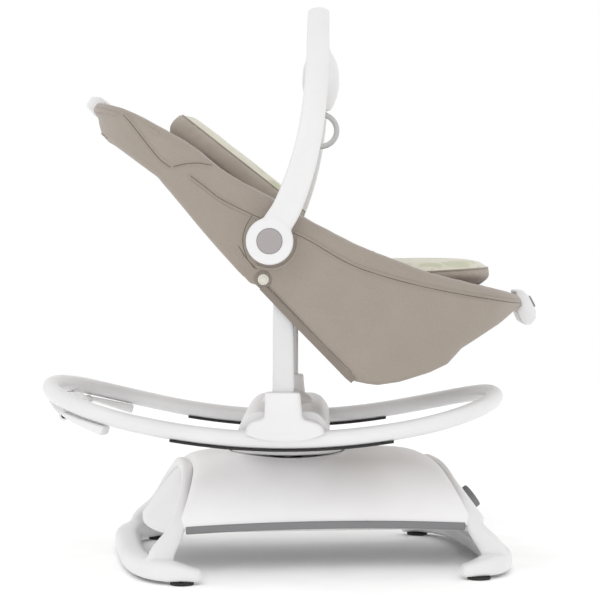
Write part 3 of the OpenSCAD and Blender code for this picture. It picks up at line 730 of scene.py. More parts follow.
def build_leg_frames():
    for name, s in ENDS:
        half = smooth_path(STRUT * [s, -1, 1], 5)
        high = smooth_path(STRUT_H, 5)[:, 0]
        strut = tube("strut", on_base(mirrored(half)), on_base(points((s, 0, 0.35))) - on_base(points((0, 0, 0))),
                     STRUT_W, np.concatenate([high[::-1], high[1:]]), power=LEG_POWER, sides=32)
        a = np.radians(np.linspace(-90, 90, 61))
        loop = np.stack([s * (TIP_X + REACH[name] * np.cos(a).clip(0) ** 0.6), FOOT_Y * signed_power(np.sin(a), 0.6),
                         np.full_like(a, 18.0)], axis=1)
        loop = even_path(loop, 120)
        tip = smoothstep(np.abs(np.linspace(-1, 1, 120)), LOOP_TAPER, 1.0)
        height = LOOP_H - 11 * tip
        loop[:, 2] = FLOOR_GAP + height / 2
        floor_bar = tube("loop", on_base(loop), UP, LOOP_W - 12 * tip, height, power=LEG_POWER, sides=32,
                         round_end=11, end_steps=8)
        leg = fuse(f"{name}_leg_frame", [strut, floor_bar], 2.3, 6)
        add(leg, "base", WHITE, f"{name}_leg_arch", f"{name}_leg_loop")


PANEL_SLOPE, PANEL_FOOT, PANEL_H, PANEL_THICK = math.radians(36), 57.0, 78.0, 4.0
# Where the panel's sides tuck in behind the struts, and its half width, both against the height
PANEL_EDGE = points((40, 222), (60, 211), (79, 201), (99, 193), (117, 186), (130, 182), (137, 180))
PANEL_HALF = points((57, 169), (66, 164), (82, 152), (100, 132), (117, 104), (126, 82), (135, 45))


def panel_x(z):
    return 261 - (z - 48) * math.tan(PANEL_SLOPE)


def build_end_panels():
    for name, s in ENDS:
        us, vs = np.linspace(-1, 1, 61), np.linspace(0, 1, 25)
        rows = []
        for v in vs:
            z = PANEL_FOOT + v * PANEL_H
            half, edge = np.interp(z, *PANEL_HALF.T), np.interp(z, *PANEL_EDGE.T)
            tuck = 5 * (1 - smoothstep(v, 0, 0.09)) + 4 * smoothstep(v, 0.93, 1.0)
            nose = panel_x(z) if s > 0 else panel_x(z) - 9
            x = edge + (nose - edge) * (1 - np.abs(us) ** 2.4) - tuck
            rows.append(np.stack([s * x, us * half, np.full_like(us, z)], axis=1))
        faces = sheet_faces(len(vs), len(us))
        panel = make(f"{name}_panel", on_base(np.vstack(rows)), faces)
        thicken(panel, PANEL_THICK, panel.data.polygons[len(faces) // 2].normal.x * s < 0)
        finish_mesh(panel, 50)
        add(panel, "base", WHITE, f"{name}_end_panel")


DIAL_Z = 83.0


def build_dial():
    """The knob stands square on the sloping end panel."""
    x = panel_x(DIAL_Z)
    origin = on_base(points((x, 0, DIAL_Z)))[0]
    axis = on_base(points((x + math.cos(PANEL_SLOPE), 0, DIAL_Z + math.sin(PANEL_SLOPE))))[0] - origin

    def knurl(turn, k):
        return 1 + (0.02 * np.cos(turn * 30) if 3 <= k <= 8 else 0)

    profile = [(0, -14), (3, -14), (3, 0.4), (17, 0.4), (17.6, 1.2), (17.6, 7.7), (17.2, 8.9), (16.4, 9.6),
               (15.2, 9.9), (13, 9.8), (6, 9.5), (0, 9.4)]
    knob = lathe("dial_knob", profile, origin, axis, sides=180, wave=knurl)
    up = np.cross(unit(np.cross(axis, [0, 0, 1])), axis)
    start, end = origin + axis * 10.6 - up * 5, origin + axis * 10.6 - up * 21
    cut(knob, tube("cut", np.linspace(start, end, 6), axis, 2.0, 3.0, power=0.6, sides=16))
    finish_mesh(knob, 35)
    add(knob, "dial", GREY, "speed_dial")


FOOT_PAD_X, FOOT_PAD_Y = 203, 237


def build_foot_pads():
    profile = [(0, 0.8), (5, 0.8), (6, 0), (14.6, 0), (16, 1.2), (16, 3.4), (15.2, 4), (0, 4)]
    pads = [lathe("pad", profile, on_base(points((x, y, 0)))[0], UP, sides=48)
            for x in (-FOOT_PAD_X, FOOT_PAD_X) for y in (-FOOT_PAD_Y, FOOT_PAD_Y)]
    add(join("rubber_foot_pads", pads), "base", RUBBER, "foot_pads")


def build_turntable():
    z0, z1 = TURNTABLE_LOW[2], TURNTABLE_HIGH[2]
    profile = [(0, z0), (TURNTABLE_R - 1, z0), (TURNTABLE_R, z0 + 1), (TURNTABLE_R, z0 + 3.6)]
    profile += [(TURNTABLE_R - 2.4 + r, z0 + 3.6 + h) for r, h in arc(2.4, 0, 90, 5)]
    profile += [(74, z0 + 6), (73, z0 + 5.2), (71.5, z0 + 5.2), (70.5, z0 + 6), (DOCK_R - 0.6, z0 + 6.0)]
    profile += [(DOCK_R - 0.6, z1 - 3), (DOCK_R - 1.4, z1 - 1), (DOCK_R - 3.2, z1), (0, z1)]
    add(lathe("turntable_disc", profile, (0, 0, 0), UP, sides=128), "carriage", WHITE, "turntable")


# ---- Rocker


def hoop_z(x):
    return RAIL_Z + x * x / RUNNER_R


def along_rail(x, s):
    return np.stack([x, np.full_like(x, s * RAIL_Y), hoop_z(x)], axis=1)


def hoop_path():
    def bow(x0, reach):
        a = np.linspace(-math.pi / 2, math.pi / 2, 70)
        x = x0 + reach * np.cos(a).clip(0) ** HOOP_POWER
        return np.stack([x, RAIL_Y * signed_power(np.sin(a), HOOP_POWER), hoop_z(x)], axis=1)

    front = bow(RAIL_X1, HOOP_FRONT - RAIL_X1)
    rear = bow(RAIL_X0, -(HOOP_END + RAIL_X0))[::-1]
    far_side = along_rail(np.linspace(RAIL_X1, RAIL_X0, 30)[1:-1], 1)
    line = np.vstack([front, far_side, rear, (far_side * [1, -1, 1])[::-1], front[:1]])
    return even_path(line, 300)[:-1]


def build_hoop():
    hoop = tube("hoop_tube", hoop_path(), UP, 2 * TUBE_R, 2 * TUBE_R, sides=32, closed=True)
    add(hoop, "rocker", POST_PAINT, "near_rail", "far_rail", "rear_bow", "front_bow")


def build_boots():
    low, high = cad_box("near_boot")
    inner, outer, top = -high[1], -low[1], high[2]
    # Height, both ends lengthways, and how far the sides stand beyond the post's socket
    levels = ((top, -25, 20.3, -1.2), (top - 1.2, -26.2, 21.6, 0), (240, -26.4, 23, 0), (225, -26.6, 24.6, 0),
              (220.5, -28.5, 26.5, 0), (218.5, -35, 32, 0), (216.5, -42, 40, 0), (213.5, -47, 48, 0),
              (209, -50.5, 52.5, 0), (203, -52.5, 55, 0), (196, -53.5, 56, -1), (182, -53.5, 56, -3))
    for name, s in SIDES:
        sections = [(x0, x1, *sorted((s * (inner - grow), s * (outer + grow))), z) for z, x0, x1, grow in levels]
        body = loft("boot_body", sections[::-1], power=0.35)
        sleeve = tube("sleeve", along_rail(np.linspace(-54, 56, 25), s), UP, 2 * TUBE_R + 4.4, 2 * TUBE_R + 4.4,
                      sides=40, round_end=3)
        boot = fuse(f"{name}_boot_saddle", [body, sleeve], 1.7, 5)
        # The lower lip rises in an arc towards both ends of the rail.
        x = np.linspace(-75, 75, 21)
        lip = [(-75, 150), *zip(x, 189.6 + 7.0 * (np.abs(x) / 46) ** 2.2), (75, 150)]
        cut(boot, plate("cut", lip, s * RAIL_Y - 40, s * RAIL_Y + 40, bevel=0))
        # Socket that the post stands in
        cut(boot, loft("cut", [(POST_MID_X - 15.6, POST_MID_X + 15.6, s * RAIL_Y - 9, s * RAIL_Y + 9, z)
                               for z in (top - 5, top + 5)], power=0.4))
        finish_mesh(boot, 50)
        add(boot, "rocker", WHITE, f"{name}_boot")


def build_posts():
    """Flat posts that widen into a round eye behind the hub."""
    half = (POST_HIGH[1] - POST_LOW[1]) / 2
    z = np.array([206, 260, 330, 400, 430, 452])
    x = np.array([POST_MID_X] * 4 + [POST_MID_X - 3, HUB_X + 6])
    width = np.array([POST_W, POST_W, POST_W, POST_W, 34, 42])
    widths = smooth_path(np.stack([width, width], axis=1), 6)[:, 0]
    eye_profile = [(0, -half), (29, -half), (30, -half + 1), (30, half - 1), (29, half), (0, half)]
    for name, s in SIDES:
        path = smooth_path(np.stack([x, np.full_like(x, s * RAIL_Y), z], axis=1), 6)
        stem = tube("stem", path, (1, 0, 0), 2 * half, widths, power=0.4, sides=40)
        eye = lathe("eye", eye_profile, (HUB_X, s * RAIL_Y, HUB_Z), (0, 1, 0))
        # The posts take the darker copy of the post paint, which is painted shade.
        add(join(f"{name}_post_strut", [stem, eye]), "rocker", POST_PAINT_SHADED, f"{name}_post")


DOME_R, DOME_Z = 49, 199


def build_bridge():
    low, high = cad_box("cross_bridge")
    outline = [(-66, 184.5), (-65, 200), (-60, 213), (-51, 223), (-40, 228.5), (38, 228.5), (49, 223.5), (57, 214),
               (62, 202), (62, 184.5)]
    beam = plate("bridge_beam", outline, low[1], high[1], bevel=3.5, corner=9)
    add(beam, "rocker", WHITE, "cross_bridge")
    profile = [(0, 248.2)] + [(DOME_R * math.sin(t), DOME_Z + DOME_R * math.cos(t))
                              for t in np.linspace(0.08, 0.80, 12)]
    profile += [(36.4, 231.2), (37.0, 229.6), (37.4, 227), (0, 227)]
    add(lathe("bridge_dome", profile[::-1], (1, 0, 0), UP, sides=96), "rocker", WHITE, "bridge_cap")
    r0, r1, z0, z1 = DOCK_R + 0.4, COLLAR_HIGH[0], COLLAR_LOW[2], COLLAR_HIGH[2]
    profile = [(r0, z0 + 1), (r0 + 1, z0), (r1 - 2, z0), (r1, z0 + 2), (r1, z1 - 5), (r1 - 1, z1 - 4),
               (r1 - 1, z1 - 1), (r1, z1), (r0, z1)]
    add(turned_ring("docking_collar", profile, 128), "rocker", GREY, "dock_collar")


STABILISER_PIN = (-306, 0, 219.5)


def build_stabilisers():
    """Each leg lies under the hoop's rear bow, from its pin to near the corner."""
    for name, s in SIDES:
        a = np.radians(np.linspace(43.5, 72.5, 32))
        f = np.linspace(0, 1, 32)
        x = RAIL_X0 - (HOOP_END + RAIL_X0) * np.cos(a) ** HOOP_POWER
        y = -RAIL_Y * np.sin(a) ** HOOP_POWER
        path = np.stack([x, -s * y, hoop_z(x) - (TUBE_R + 5.8 + 2.2 * f)], axis=1)
        leg = tube("leg", path, UP, 16 + 8 * f, 6 + 7.5 * f, power=0.45, sides=32, round_end=2)
        barrel = lathe("barrel", [(4.5, 104), (7.5, 104), (7.5, 156), (4.5, 156)], STABILISER_PIN, (0, s, 0), sides=40)
        add(join(f"{name}_stabiliser_leg", [leg, barrel]), f"{name}_leg", WHITE, f"{name}_stabiliser")


build_base_cover()
build_trims()
build_leg_frames()
build_end_panels()
build_dial()
build_foot_pads()
build_turntable()
build_hoop()
build_boots()
build_posts()
build_bridge()
build_stabilisers()
refined("stabiliser_cheeks", "stabiliser_brackets", "rocker", WHITE, 1.2)

# ---- Seat: shell, liner and rim


def ring_z(x):
    u = (x - RING_X) / RING_HALF_X
    return 480 + u * (-169 + u * (65 + u * (32 - 35 * u)))


def rim_dip(x):
    """How far the rim sags between the head fold and the hubs."""
    return 5.0 * np.exp(-((x + 78) / 36) ** 2)


def plan(turn, t):
    """Point of the seat's plan outline: t is 0 on the ring tube, 1 at the outer wall, -1 at the inner."""
    x = RING_X + (RING_HALF_X + WALL_X * t) * signed_power(np.cos(turn), 2 / SEAT_POWER)
    y = (RING_HALF_Y + WALL_Y * t) * signed_power(np.sin(turn), 2 / SEAT_POWER)
    return x, y


def even_turns(count):
    """Angles that step evenly along the plan outline."""
    turn = np.linspace(0, 2 * math.pi, 4001)
    x, y = plan(turn, 0)
    walked = np.concatenate([[0], np.cumsum(np.hypot(np.diff(x), np.diff(y)))])
    return np.interp(np.arange(count) / count * walked[-1], walked, turn)


LOWER = points((-290, 632), (-270, 627), (-262, 612), (-251, 601), (-240, 595), (-200, 567), (-175, 549), (-137, 505),
               (-112, 475), (-90, 450), (-63, 421), (-46, 404), (-38, 402), (89, 272), (112, 267), (127, 265),
               (157, 269), (198, 281), (223, 292), (243, 313), (269, 328), (299, 345), (321, 361), (345, 366))


def lower_z(x):
    """Height of the fabric's lower outline."""
    return np.interp(x, *LOWER.T)


# Seams on the shell's side, as (x, z)
SEAMS = {
    "head": points((-224, 636), (-214, 625), (-185, 589), (-170, 572), (-156, 562)),
    "fold": points((-151, 563), (-133, 566.5), (-114, 567), (-98, 564)),
    "roll": points((-128, 550), (-108, 535), (-87, 519), (-60, 505), (-32, 492)),
    "rim": points((12, 472), (35, 461), (89, 430), (143, 411), (212, 394), (299, 378), (332, 373)),
    "recess": points((-43, 496), (-52.5, 479), (-56, 461), (-51, 440), (-40, 424)),
    "panel": points((-62, 455), (-52, 439), (-37, 423)),
}
HEM_TOP = points((-24, 401), (20, 356), (60, 315), (92, 283))
HEAD_EDGE = points((-279, 647), (-275, 632), (-265, 617), (-252, 606))
HEM_BAND = points((-30, 224.4, 399), (20, 224.4, 347), (60, 224.2, 306), (86, 222.5, 279), (94, 221.5, 272))
RECESS_R = 37.5
POST_OPENING = [(-55, 455), (-55, 300), (-52, 230), (50, 230), (36, 340), (20, 455)]


def distance_to(path, x, z):
    best = np.full(x.shape, 1e9)
    for (x0, z0), (x1, z1) in zip(path, path[1:]):
        dx, dz = x1 - x0, z1 - z0
        t = (((x - x0) * dx + (z - z0) * dz) / (dx * dx + dz * dz)).clip(0, 1)
        best = np.minimum(best, np.hypot(x - x0 - t * dx, z - z0 - t * dz))
    return best


def shell_surface(turns):
    """Rows of points from inside the rim, over it, down the wall and under to the middle."""
    rows = []
    x_outer, _ = plan(turns, 1.0)
    drop_to = np.minimum(lower_z(x_outer), ring_z(x_outer) - 13)
    head = smoothstep(-x_outer, 62, 170)
    foot = smoothstep(x_outer, 60, 230)
    near_hub = smoothstep(x_outer, -95, -60) * (1 - smoothstep(x_outer, 60, 95))
    taper = 0.55 * head + 0.35 * foot
    inside = np.minimum(34, (ring_z(x_outer) - drop_to) * 0.4) / 34
    for t, up in ((-1.02, -34), (-1.02, -22), (-1.02, -10), (-1.0, 0), (-0.93, 4.5), (-0.78, 8), (-0.55, 10.2),
                  (-0.28, 11.4), (0.0, 11.6), (0.28, 11.4), (0.55, 10.2), (0.78, 8), (0.93, 4.5), (1.0, 0)):
        x, y = plan(turns, t)
        rows.append(np.stack([x, y, ring_z(x) + (up * inside if up < 0 else up) - rim_dip(x)], axis=1))
    edge = np.minimum(13 - 9.5 * near_hub, (ring_z(x_outer) - drop_to) * 0.45)
    top = ring_z(x_outer) - rim_dip(x_outer)
    wall = 64
    for k in range(1, wall + 1):
        f = k / wall
        x, y = plan(turns, 1.0 - taper * f**1.5)
        low = np.minimum(lower_z(x), top - 11)
        rows.append(np.stack([x, y, top + (low + edge - top) * f], axis=1))
    for a in np.radians((18, 36, 54, 72, 90)):
        x, y = plan(turns, 1.0 - taper - (edge / WALL_Y) * (1 - math.cos(a)))
        low = np.minimum(lower_z(x), top - 11)
        rows.append(np.stack([x, y, low + edge * (1 - math.sin(a))], axis=1))
    last = rows[-1]
    return rows + [last * [1, f, 1] for f in (0.93, 0.8, 0.6, 0.4, 0.2, 0.08, 0)]


RIM_ROWS = (3, 13)


def build_shell():
    count = 520
    rows = shell_surface(even_turns(count))
    verts = np.vstack(rows)
    x, y, z = verts.T.copy()
    row_of = np.repeat(np.arange(len(rows)), count)
    # How much a point belongs to the side wall
    side = smoothstep(np.abs(y), 120, 170) * smoothstep(ring_z(x) - z, -10, 4)
    side *= (row_of >= 8) & (row_of <= len(rows) - 8)
    groove = np.zeros_like(x)
    puff = np.full_like(x, 40.0)
    for path in SEAMS.values():
        d = distance_to(smooth_path(path, 6), x, z)
        groove = np.maximum(groove, np.exp(-(d / 3.2) ** 2))
        puff = np.minimum(puff, d)
    d = distance_to(HEM_TOP, x, z)
    groove = np.maximum(groove, 0.6 * np.exp(-(d / 2.0) ** 2))
    puff = np.minimum(puff, d + 4)
    swell = 2.6 * smoothstep(puff, 0, 26) - 1.5
    swell += 1.5 * ripple(verts, 110, 5) + 0.5 * ripple(verts, 42, 9)
    outward = side * (swell - 2.6 * groove)
    # Close to the hub the wall stays behind the toy bar's hub.
    keep = 1 - smoothstep(np.hypot(x - HUB_X, z - HUB_Z), 36, 75)
    outward = np.where(keep > 0, outward * (1 - keep) - 1.2 * keep * side, outward)
    nx, ny = (x - RING_X) / RING_HALF_X, y / RING_HALF_Y
    direction = np.stack([signed_power(nx, 1.4) * 0.6, signed_power(ny, 1.4)], axis=1)
    direction /= np.maximum(np.linalg.norm(direction, axis=1), 1e-6)[:, None]
    verts[:, 0] += direction[:, 0] * outward
    verts[:, 1] += direction[:, 1] * outward
    # The rolled rim is a little uneven.
    rim = ((row_of >= RIM_ROWS[0]) & (row_of <= RIM_ROWS[1])).astype(float)
    verts[:, 2] += rim * (1.1 * ripple(verts, 80, 12) + 0.5 * ripple(verts, 30, 3))
    shell = make("seat_shell_fabric", verts, skin_faces(len(rows), count), 75)
    over_rim = [p for p in shell.data.polygons if p.center.z > (ring_z(p.center.x * METRE) + 9) / METRE]
    thicken(shell, 2.6, sum(p.normal.z * p.area for p in over_rim) < 0)
    for s in (-1, 1):
        y0, y1 = sorted((s * 187.0, s * 219.5))
        cut(shell, prism("cut", POST_OPENING, y0, y1))
        drill(shell, 37, y0, y1, HUB_AT, (0, 1, 0))
    for s in (-1, 1):
        drill(shell, 20, 195, 260, HUB_AT, (0, s, 0))
    finish_mesh(shell, 70)
    add(shell, "seat", SHELL_CLOTH, "seat_cover")
    return shell


def surface_of(obj):
    """A tree for casting on to a finished piece, in metres."""
    bm = bmesh.new()
    bm.from_mesh(obj.data)
    tree = BVHTree.FromBMesh(bm)
    bm.free()
    return tree


def cast_side(tree, path, s, lift):
    """(x, z) points dropped on to the outside of the side wall s, lift millimetres above it."""
    out = []
    for x, z in path:
        hit = tree.ray_cast(Vector((x, s * 400, z)) / METRE, Vector((0, -s, 0)))
        if hit[0] is not None and abs(hit[0].y) * METRE > 35:
            out.append(np.array(hit[0]) * METRE + np.array([0, s * lift, 0]))
    return np.array(out)


STITCH_PITCH, STITCH_START = 4.0, 3.0


def build_seams(tree):
    """Seam threads lying in the shell's grooves, their dark colour painting the grooves' shade, and stitches beside
    them.
    """
    for name, s in SIDES:
        threads, stitches = [], []
        for path in SEAMS.values():
            line = cast_side(tree, even_path(smooth_path(path, 8), 60), s, -0.25)
            if len(line) > 4:
                threads.append(tube("thread", line, (0, -s, 0), 1.3, 1.0, sides=8, round_end=0.4, end_steps=2))
        hem = cast_side(tree, even_path(HEM_TOP, 60), s, -0.2)
        threads.append(tube("thread", hem, (0, -s, 0), 1.1, 0.9, sides=8, round_end=0.4, end_steps=2))
        for seam, shift in (("rim", 5.0), ("roll", -4.5), ("head", 4.5)):
            path = even_path(smooth_path(SEAMS[seam], 8), 400)
            along = unit(np.gradient(path, axis=0))
            beside = path + np.stack([-along[:, 1], along[:, 0]], axis=1) * shift
            walked = walk(beside)
            at = STITCH_START
            while at < walked[-1] - 4:
                stitch = [[np.interp(at + d, walked, beside[:, k]) for k in (0, 1)] for d in (0, 1.3, 2.6)]
                line = cast_side(tree, stitch, s, 0.12)
                if len(line) == 3:
                    stitches.append(tube("stitch", line, (0, -s, 0), 0.75, 0.6, sides=6))
                at += STITCH_PITCH
        # The dark thread colour paints the shade in the seam grooves.
        add(join(f"{name}_seam_threads", threads), "seat", SEAM_SHADE_THREAD)
        add(join(f"{name}_top_stitching", stitches), "seat", STITCH)


def build_binding(tree):
    """Bound edge of the opening round each hub and of the head end, and the hem band down the skirt's back edge."""
    for name, s in SIDES:
        a = np.radians(np.linspace(-122, 8, 60))
        ring = [(HUB_X + RECESS_R * math.cos(t), HUB_Z + RECESS_R * math.sin(t)) for t in a]
        bound = tube(f"{name}_hub_binding", cast_side(tree, ring, s, 0.2), (0, -s, 0), 4.6, 2.6, sides=14, round_end=1)
        add(bound, "seat", SHELL_CLOTH)
        # The head binding is the darker copy of the shell fabric, which is painted shade.
        line = cast_side(tree, even_path(smooth_path(HEAD_EDGE, 8), 40), s, 0.2)
        bound = tube(f"{name}_head_binding", line, (0, -s, 0), 2.8, 1.8, sides=12, round_end=0.8)
        add(bound, "seat", SHELL_SHADED)
        # The hem band is the darker copy of the shell fabric, which is painted shade.
        band = tube(f"{name}_hem_band", even_path(HEM_BAND * [1, s, 1], 60), (0, -s, 0), 9, 2.6, power=0.6,
                    sides=20, round_end=1.2)
        add(band, "seat", SHELL_SHADED)


LINER_FLOOR = points((-262, 634), (-232, 622), (-150, 592), (52, 433), (96, 404), (200, 399), (285, 383), (310, 380))


def build_liner():
    count = 240
    turns = even_turns(count)
    rows = []
    for f in np.concatenate([np.linspace(0, 0.3, 10), np.linspace(0.36, 1, 14)]):
        x, y = plan(turns, -0.84 - 0.35 * f)
        y = y * (1 - f)
        rim = ring_z(x) - 1
        floor = np.interp(x, *LINER_FLOOR.T)
        z = rim + (np.minimum(floor, rim) - rim) * smoothstep(f, 0, 0.34)
        rows.append(np.stack([x, y, z + 1.2 * ripple(np.stack([x, y, z], axis=1), 60, 21)], axis=1))
    liner = make("seat_liner_fabric", np.vstack(rows), skin_faces(len(rows), count), 80)
    thicken(liner, 4.5, sum(p.normal.z * p.area for p in liner.data.polygons) < 0)
    finish_mesh(liner, 75)
    add(liner, "seat", LINER_CLOTH, "seat_liner")


# ---- Seat: pads


def vertex_places(obj):
    flat = np.empty(len(obj.data.vertices) * 3)
    obj.data.vertices.foreach_get("co", flat)
    return flat.reshape(-1, 3)


def puff_up(obj, pressure, cap):
    """Blows a closed form up a little as cloth, by at most cap millimetres, and keeps the result."""
    modify(obj, "REMESH", mode="VOXEL", voxel_size=4.8 / METRE)
    settle(obj)
    before = vertex_places(obj)
    soft = obj.modifiers.new("Cloth", "CLOTH")
    soft.settings.use_pressure = True
    soft.settings.uniform_pressure_force = pressure
    soft.settings.effector_weights.gravity = 0
    soft.settings.quality = 5
    soft.settings.mass = 0.3
    soft.settings.tension_stiffness = 12
    soft.settings.compression_stiffness = 9
    soft.settings.bending_stiffness = 0.6
    for step in range(1, 21):
        scene.frame_set(step)
    settle(obj)
    scene.frame_set(1)
    move = vertex_places(obj) - before
    length = np.linalg.norm(move, axis=1, keepdims=True)
    after = before + move * np.minimum(1, cap / METRE / np.maximum(length, 1e-9))
    obj.data.vertices.foreach_set("co", after.ravel())
    modify(obj, "SMOOTH", factor=0.5, iterations=3)
    modify(obj, "SUBSURF", levels=1, render_levels=1)
    settle(obj)
    finish_mesh(obj, 80)


class Cushion:
    """A pad on a sloping line from a to b (x, z), s millimetres along it and h above it."""

    def __init__(self, a, b, s0, s1, half_w, height, seam):
        self.a = np.array([a[0], 0, a[1]], float)
        self.along = unit(np.array([b[0] - a[0], 0, b[1] - a[1]], float))
        self.up = np.array([-self.along[2], 0, self.along[0]])
        self.s0, self.s1, self.half_w = s0, s1, half_w
        self.height, self.seam = height, seam

    def place(self, s, y, h):
        p = self.a + np.multiply.outer(s, self.along) + np.multiply.outer(h, self.up)
        p[..., 1] = y
        return p

    def build(self, name, puckers, seed):
        turn = full_turn(160)
        c, d = signed_power(np.cos(turn), 0.5), signed_power(np.sin(turn), 0.5)
        mid, half = (self.s0 + self.s1) / 2, (self.s1 - self.s0) / 2
        rows = []
        for r, level in ((0, 0), (0.4, 0), (0.7, 0), (0.86, 0.02), (0.94, 0.1), (0.985, 0.28), (1.0, 0.5),
                         (1.0, 0.75), (0.985, 1.0), (0.955, 1.08), (0.9, 1.17), (0.8, 1.27), (0.65, 1.35),
                         (0.45, 1.4), (0.2, 1.43), (0, 1.43)):
            s = mid + half * r * c
            y = self.half_w * r * d
            band = self.seam(s)
            h = np.where(level <= 1, band * level, band + (self.height(s) - band) * (level - 1) / 0.43)
            pull = 1 - 0.012 * smoothstep(level, 0.4, 1.0) * (1 + np.cos(turn * puckers)) * (level < 1.05)
            rows.append(self.place(mid + (s - mid) * pull, y * pull, h))
        verts = np.vstack(rows)
        verts += (0.7 * ripple(verts, 55, seed))[:, None] * self.up
        pad = make(name, verts, skin_faces(len(rows), len(turn)))
        puff_up(pad, 4.0, 5.0)
        return pad

    def trim(self, pad, piping_name):
        """Splits the pad's fabric along its seam plane, and lays piping on the cut."""
        s = np.array([self.s0, self.s1])
        p0, p1 = self.place(s, 0.0, self.seam(s))
        normal = unit(np.cross(np.array([0, 1.0, 0]), p1 - p0))
        if normal[2] < 0:
            normal = -normal
        bm = bmesh.new()
        bm.from_mesh(pad.data)
        cut_at = bmesh.ops.bisect_plane(bm, geom=bm.verts[:] + bm.edges[:] + bm.faces[:],
                                        plane_co=Vector(p0 / METRE), plane_no=Vector(normal))
        loop = longest_loop([e for e in cut_at["geom_cut"] if isinstance(e, bmesh.types.BMEdge)])
        for f in bm.faces:
            centre = np.array(f.calc_center_median()) * METRE
            f.material_index = int((centre - p0) @ normal > 0)
        # The pads' sides take the lighter fabric, which is painted light.
        pad.data.materials.clear()
        pad.data.materials.append(PAD_SIDE_LIT)
        pad.data.materials.append(PAD_PRINT)
        bm.to_mesh(pad.data)
        bm.free()
        line = np.array(loop) * METRE
        line = even_path(np.vstack([line, line[:1]]), 221)[:-1]
        for _ in range(2):
            line = (np.roll(line, 1, 0) + 2 * line + np.roll(line, -1, 0)) / 4
        add(tube(piping_name, line, normal, 3.0, 3.0, sides=12, closed=True), "seat", PIPING)


def longest_loop(edges):
    """Points of the longest ring of connected edges, in order. A dict keeps the edges in the same order each run."""
    left = dict.fromkeys(edges)
    best = []
    while left:
        edge = next(iter(left))
        del left[edge]
        start, at = edge.verts
        ring = [start, at]
        while at is not start:
            step = next((e for e in at.link_edges if e in left), None)
            if step is None:
                break
            del left[step]
            at = step.other_vert(at)
            ring.append(at)
        if len(ring) > len(best):
            best = ring
    return [tuple(v.co) for v in best[:-1]]


BACK_SEAM_H, BACK_TOP_H = 33.0, 38.0


def build_pads():
    back = Cushion((-148, 598), (56, 437.5), -37, 204, 132,
                   lambda s: np.full_like(s, BACK_TOP_H, float), lambda s: np.full_like(s, BACK_SEAM_H, float))
    leg = Cushion((98, 409), (262, 403), -36, 197, 129, lambda s: 22.0 + 7.5 * s / 180, lambda s: 3.0 + 0.095 * s)
    for name, cushion, puckers, seed in (("back", back, 34, 31), ("leg", leg, 30, 37)):
        pad = cushion.build(f"{name}_cushion", puckers, seed)
        cushion.trim(pad, f"{name}_piping")
        add(pad, "seat", None, f"{name}_pad")


# The cushion under the buckle gives this much
BUCKLE_SINK = 10.0


def build_harness():
    low, high = cad_box("harness_buckle")
    x0, x1, z0 = low[0], high[0], low[2] - BUCKLE_SINK
    mid = (x0 + x1) / 2
    straps = []
    for s in (-1, 1):
        path = smooth_path(points((60, s * 150, 446), (66, s * 128, 459), (74, s * 100, 462), (84, s * 66, 457),
                                  (mid - 8, s * 24, z0 + 7), (mid - 4, s * 12, z0 + 6)), 8)
        straps.append(tube("strap", path, UP, 24, 1.9, power=0.5, sides=20, round_end=0.6))
    add(join("waist_straps", straps), "seat", WEBBING, "harness_straps")
    body = loft("buckle", [(x0 + 1.5, x1 - 1.5, -18.5, 18.5, z0), (x0, x1, -20, 20, z0 + 1.5),
                           (x0, x1, -20, 20, z0 + 8), (x0 + 1, x1 - 1, -19, 19, z0 + 10.5),
                           (x0 + 4, x1 - 4, -16, 16, z0 + 12)], power=0.4)
    key = lathe("key", [(0, 10), (9.6, 10), (9.6, 12.6), (8.8, 13.4), (5, 13.6), (0, 13.7)], (mid, 0, z0), UP, 48)
    add(join("buckle_body", [body, key]), "seat", GREY, "harness_buckle")


def build_snaps(tree):
    low, high = cad_box("skirt_snaps")
    x, z = (low[0] + high[0]) / 2, (low[2] + high[2]) / 2
    cap = [(0, -2), (7.6, -2), (7.6, 1.6), (7.3, 2.6), (6.6, 3.1), (5.9, 2.9), (5.3, 2.4), (4.6, 2.7), (3.2, 3.5),
           (1.6, 3.9), (0, 4.0)]
    fold = [(0, -2), (11.5, -2), (12.2, -0.5), (11.6, 1.0), (10.4, 1.5), (8.4, 1.1), (0, 1.0)]
    at = [((x, cast_side(tree, [(x, z + 1)], s, 0)[0][1], z), (0, s, 0)) for s in (-1, 1)]
    snaps = [lathe("snap", cap, origin, axis, 48) for origin, axis in at]
    tabs = [lathe("fold", fold, origin, axis, 48) for origin, axis in at]
    add(join("snap_caps", snaps), "seat", SNAP, "skirt_snaps")
    # The snap tabs are the darker copy of the shell fabric, which is painted shade.
    add(join("snap_tabs", tabs), "seat", SHELL_SHADED)


def build_ring():
    x, y = plan(even_turns(240), 0)
    path = np.stack([x, y, ring_z(x) - 1.4 * rim_dip(x)], axis=1)
    add(tube("ring_tube", path, (0.4, 0, 1), 15, 15, sides=24, closed=True), "seat", STEEL, "seat_ring")


def build_hub_plates():
    """The plates get thinner where they run up inside the rim, behind the liner."""
    plates = refined("hub_plate_pair", "hub_plates", "seat", WHITE, 1.0)
    for v in plates.data.vertices:
        least = 188 + 7.5 * smoothstep(v.co.z * METRE, 470, 500)
        v.co.y = math.copysign(max(abs(v.co.y) * METRE, least), v.co.y) / METRE


RELEASE_AT = np.array((350.5, 0, 373.0))
RELEASE_TILT = math.radians(28)
RELEASE_OUT = np.array((math.cos(RELEASE_TILT), 0, math.sin(RELEASE_TILT)))
RELEASE_ALONG = np.array((math.sin(RELEASE_TILT), 0, -math.cos(RELEASE_TILT)))
FOOT_GRIP_W = 90
FOOT_GRIP_OUTLINE = [(328, 390), (338, 391), (346, 383), (357, 361), (357, 350), (350, 342), (342, 341), (336, 346),
                     (330, 360)]


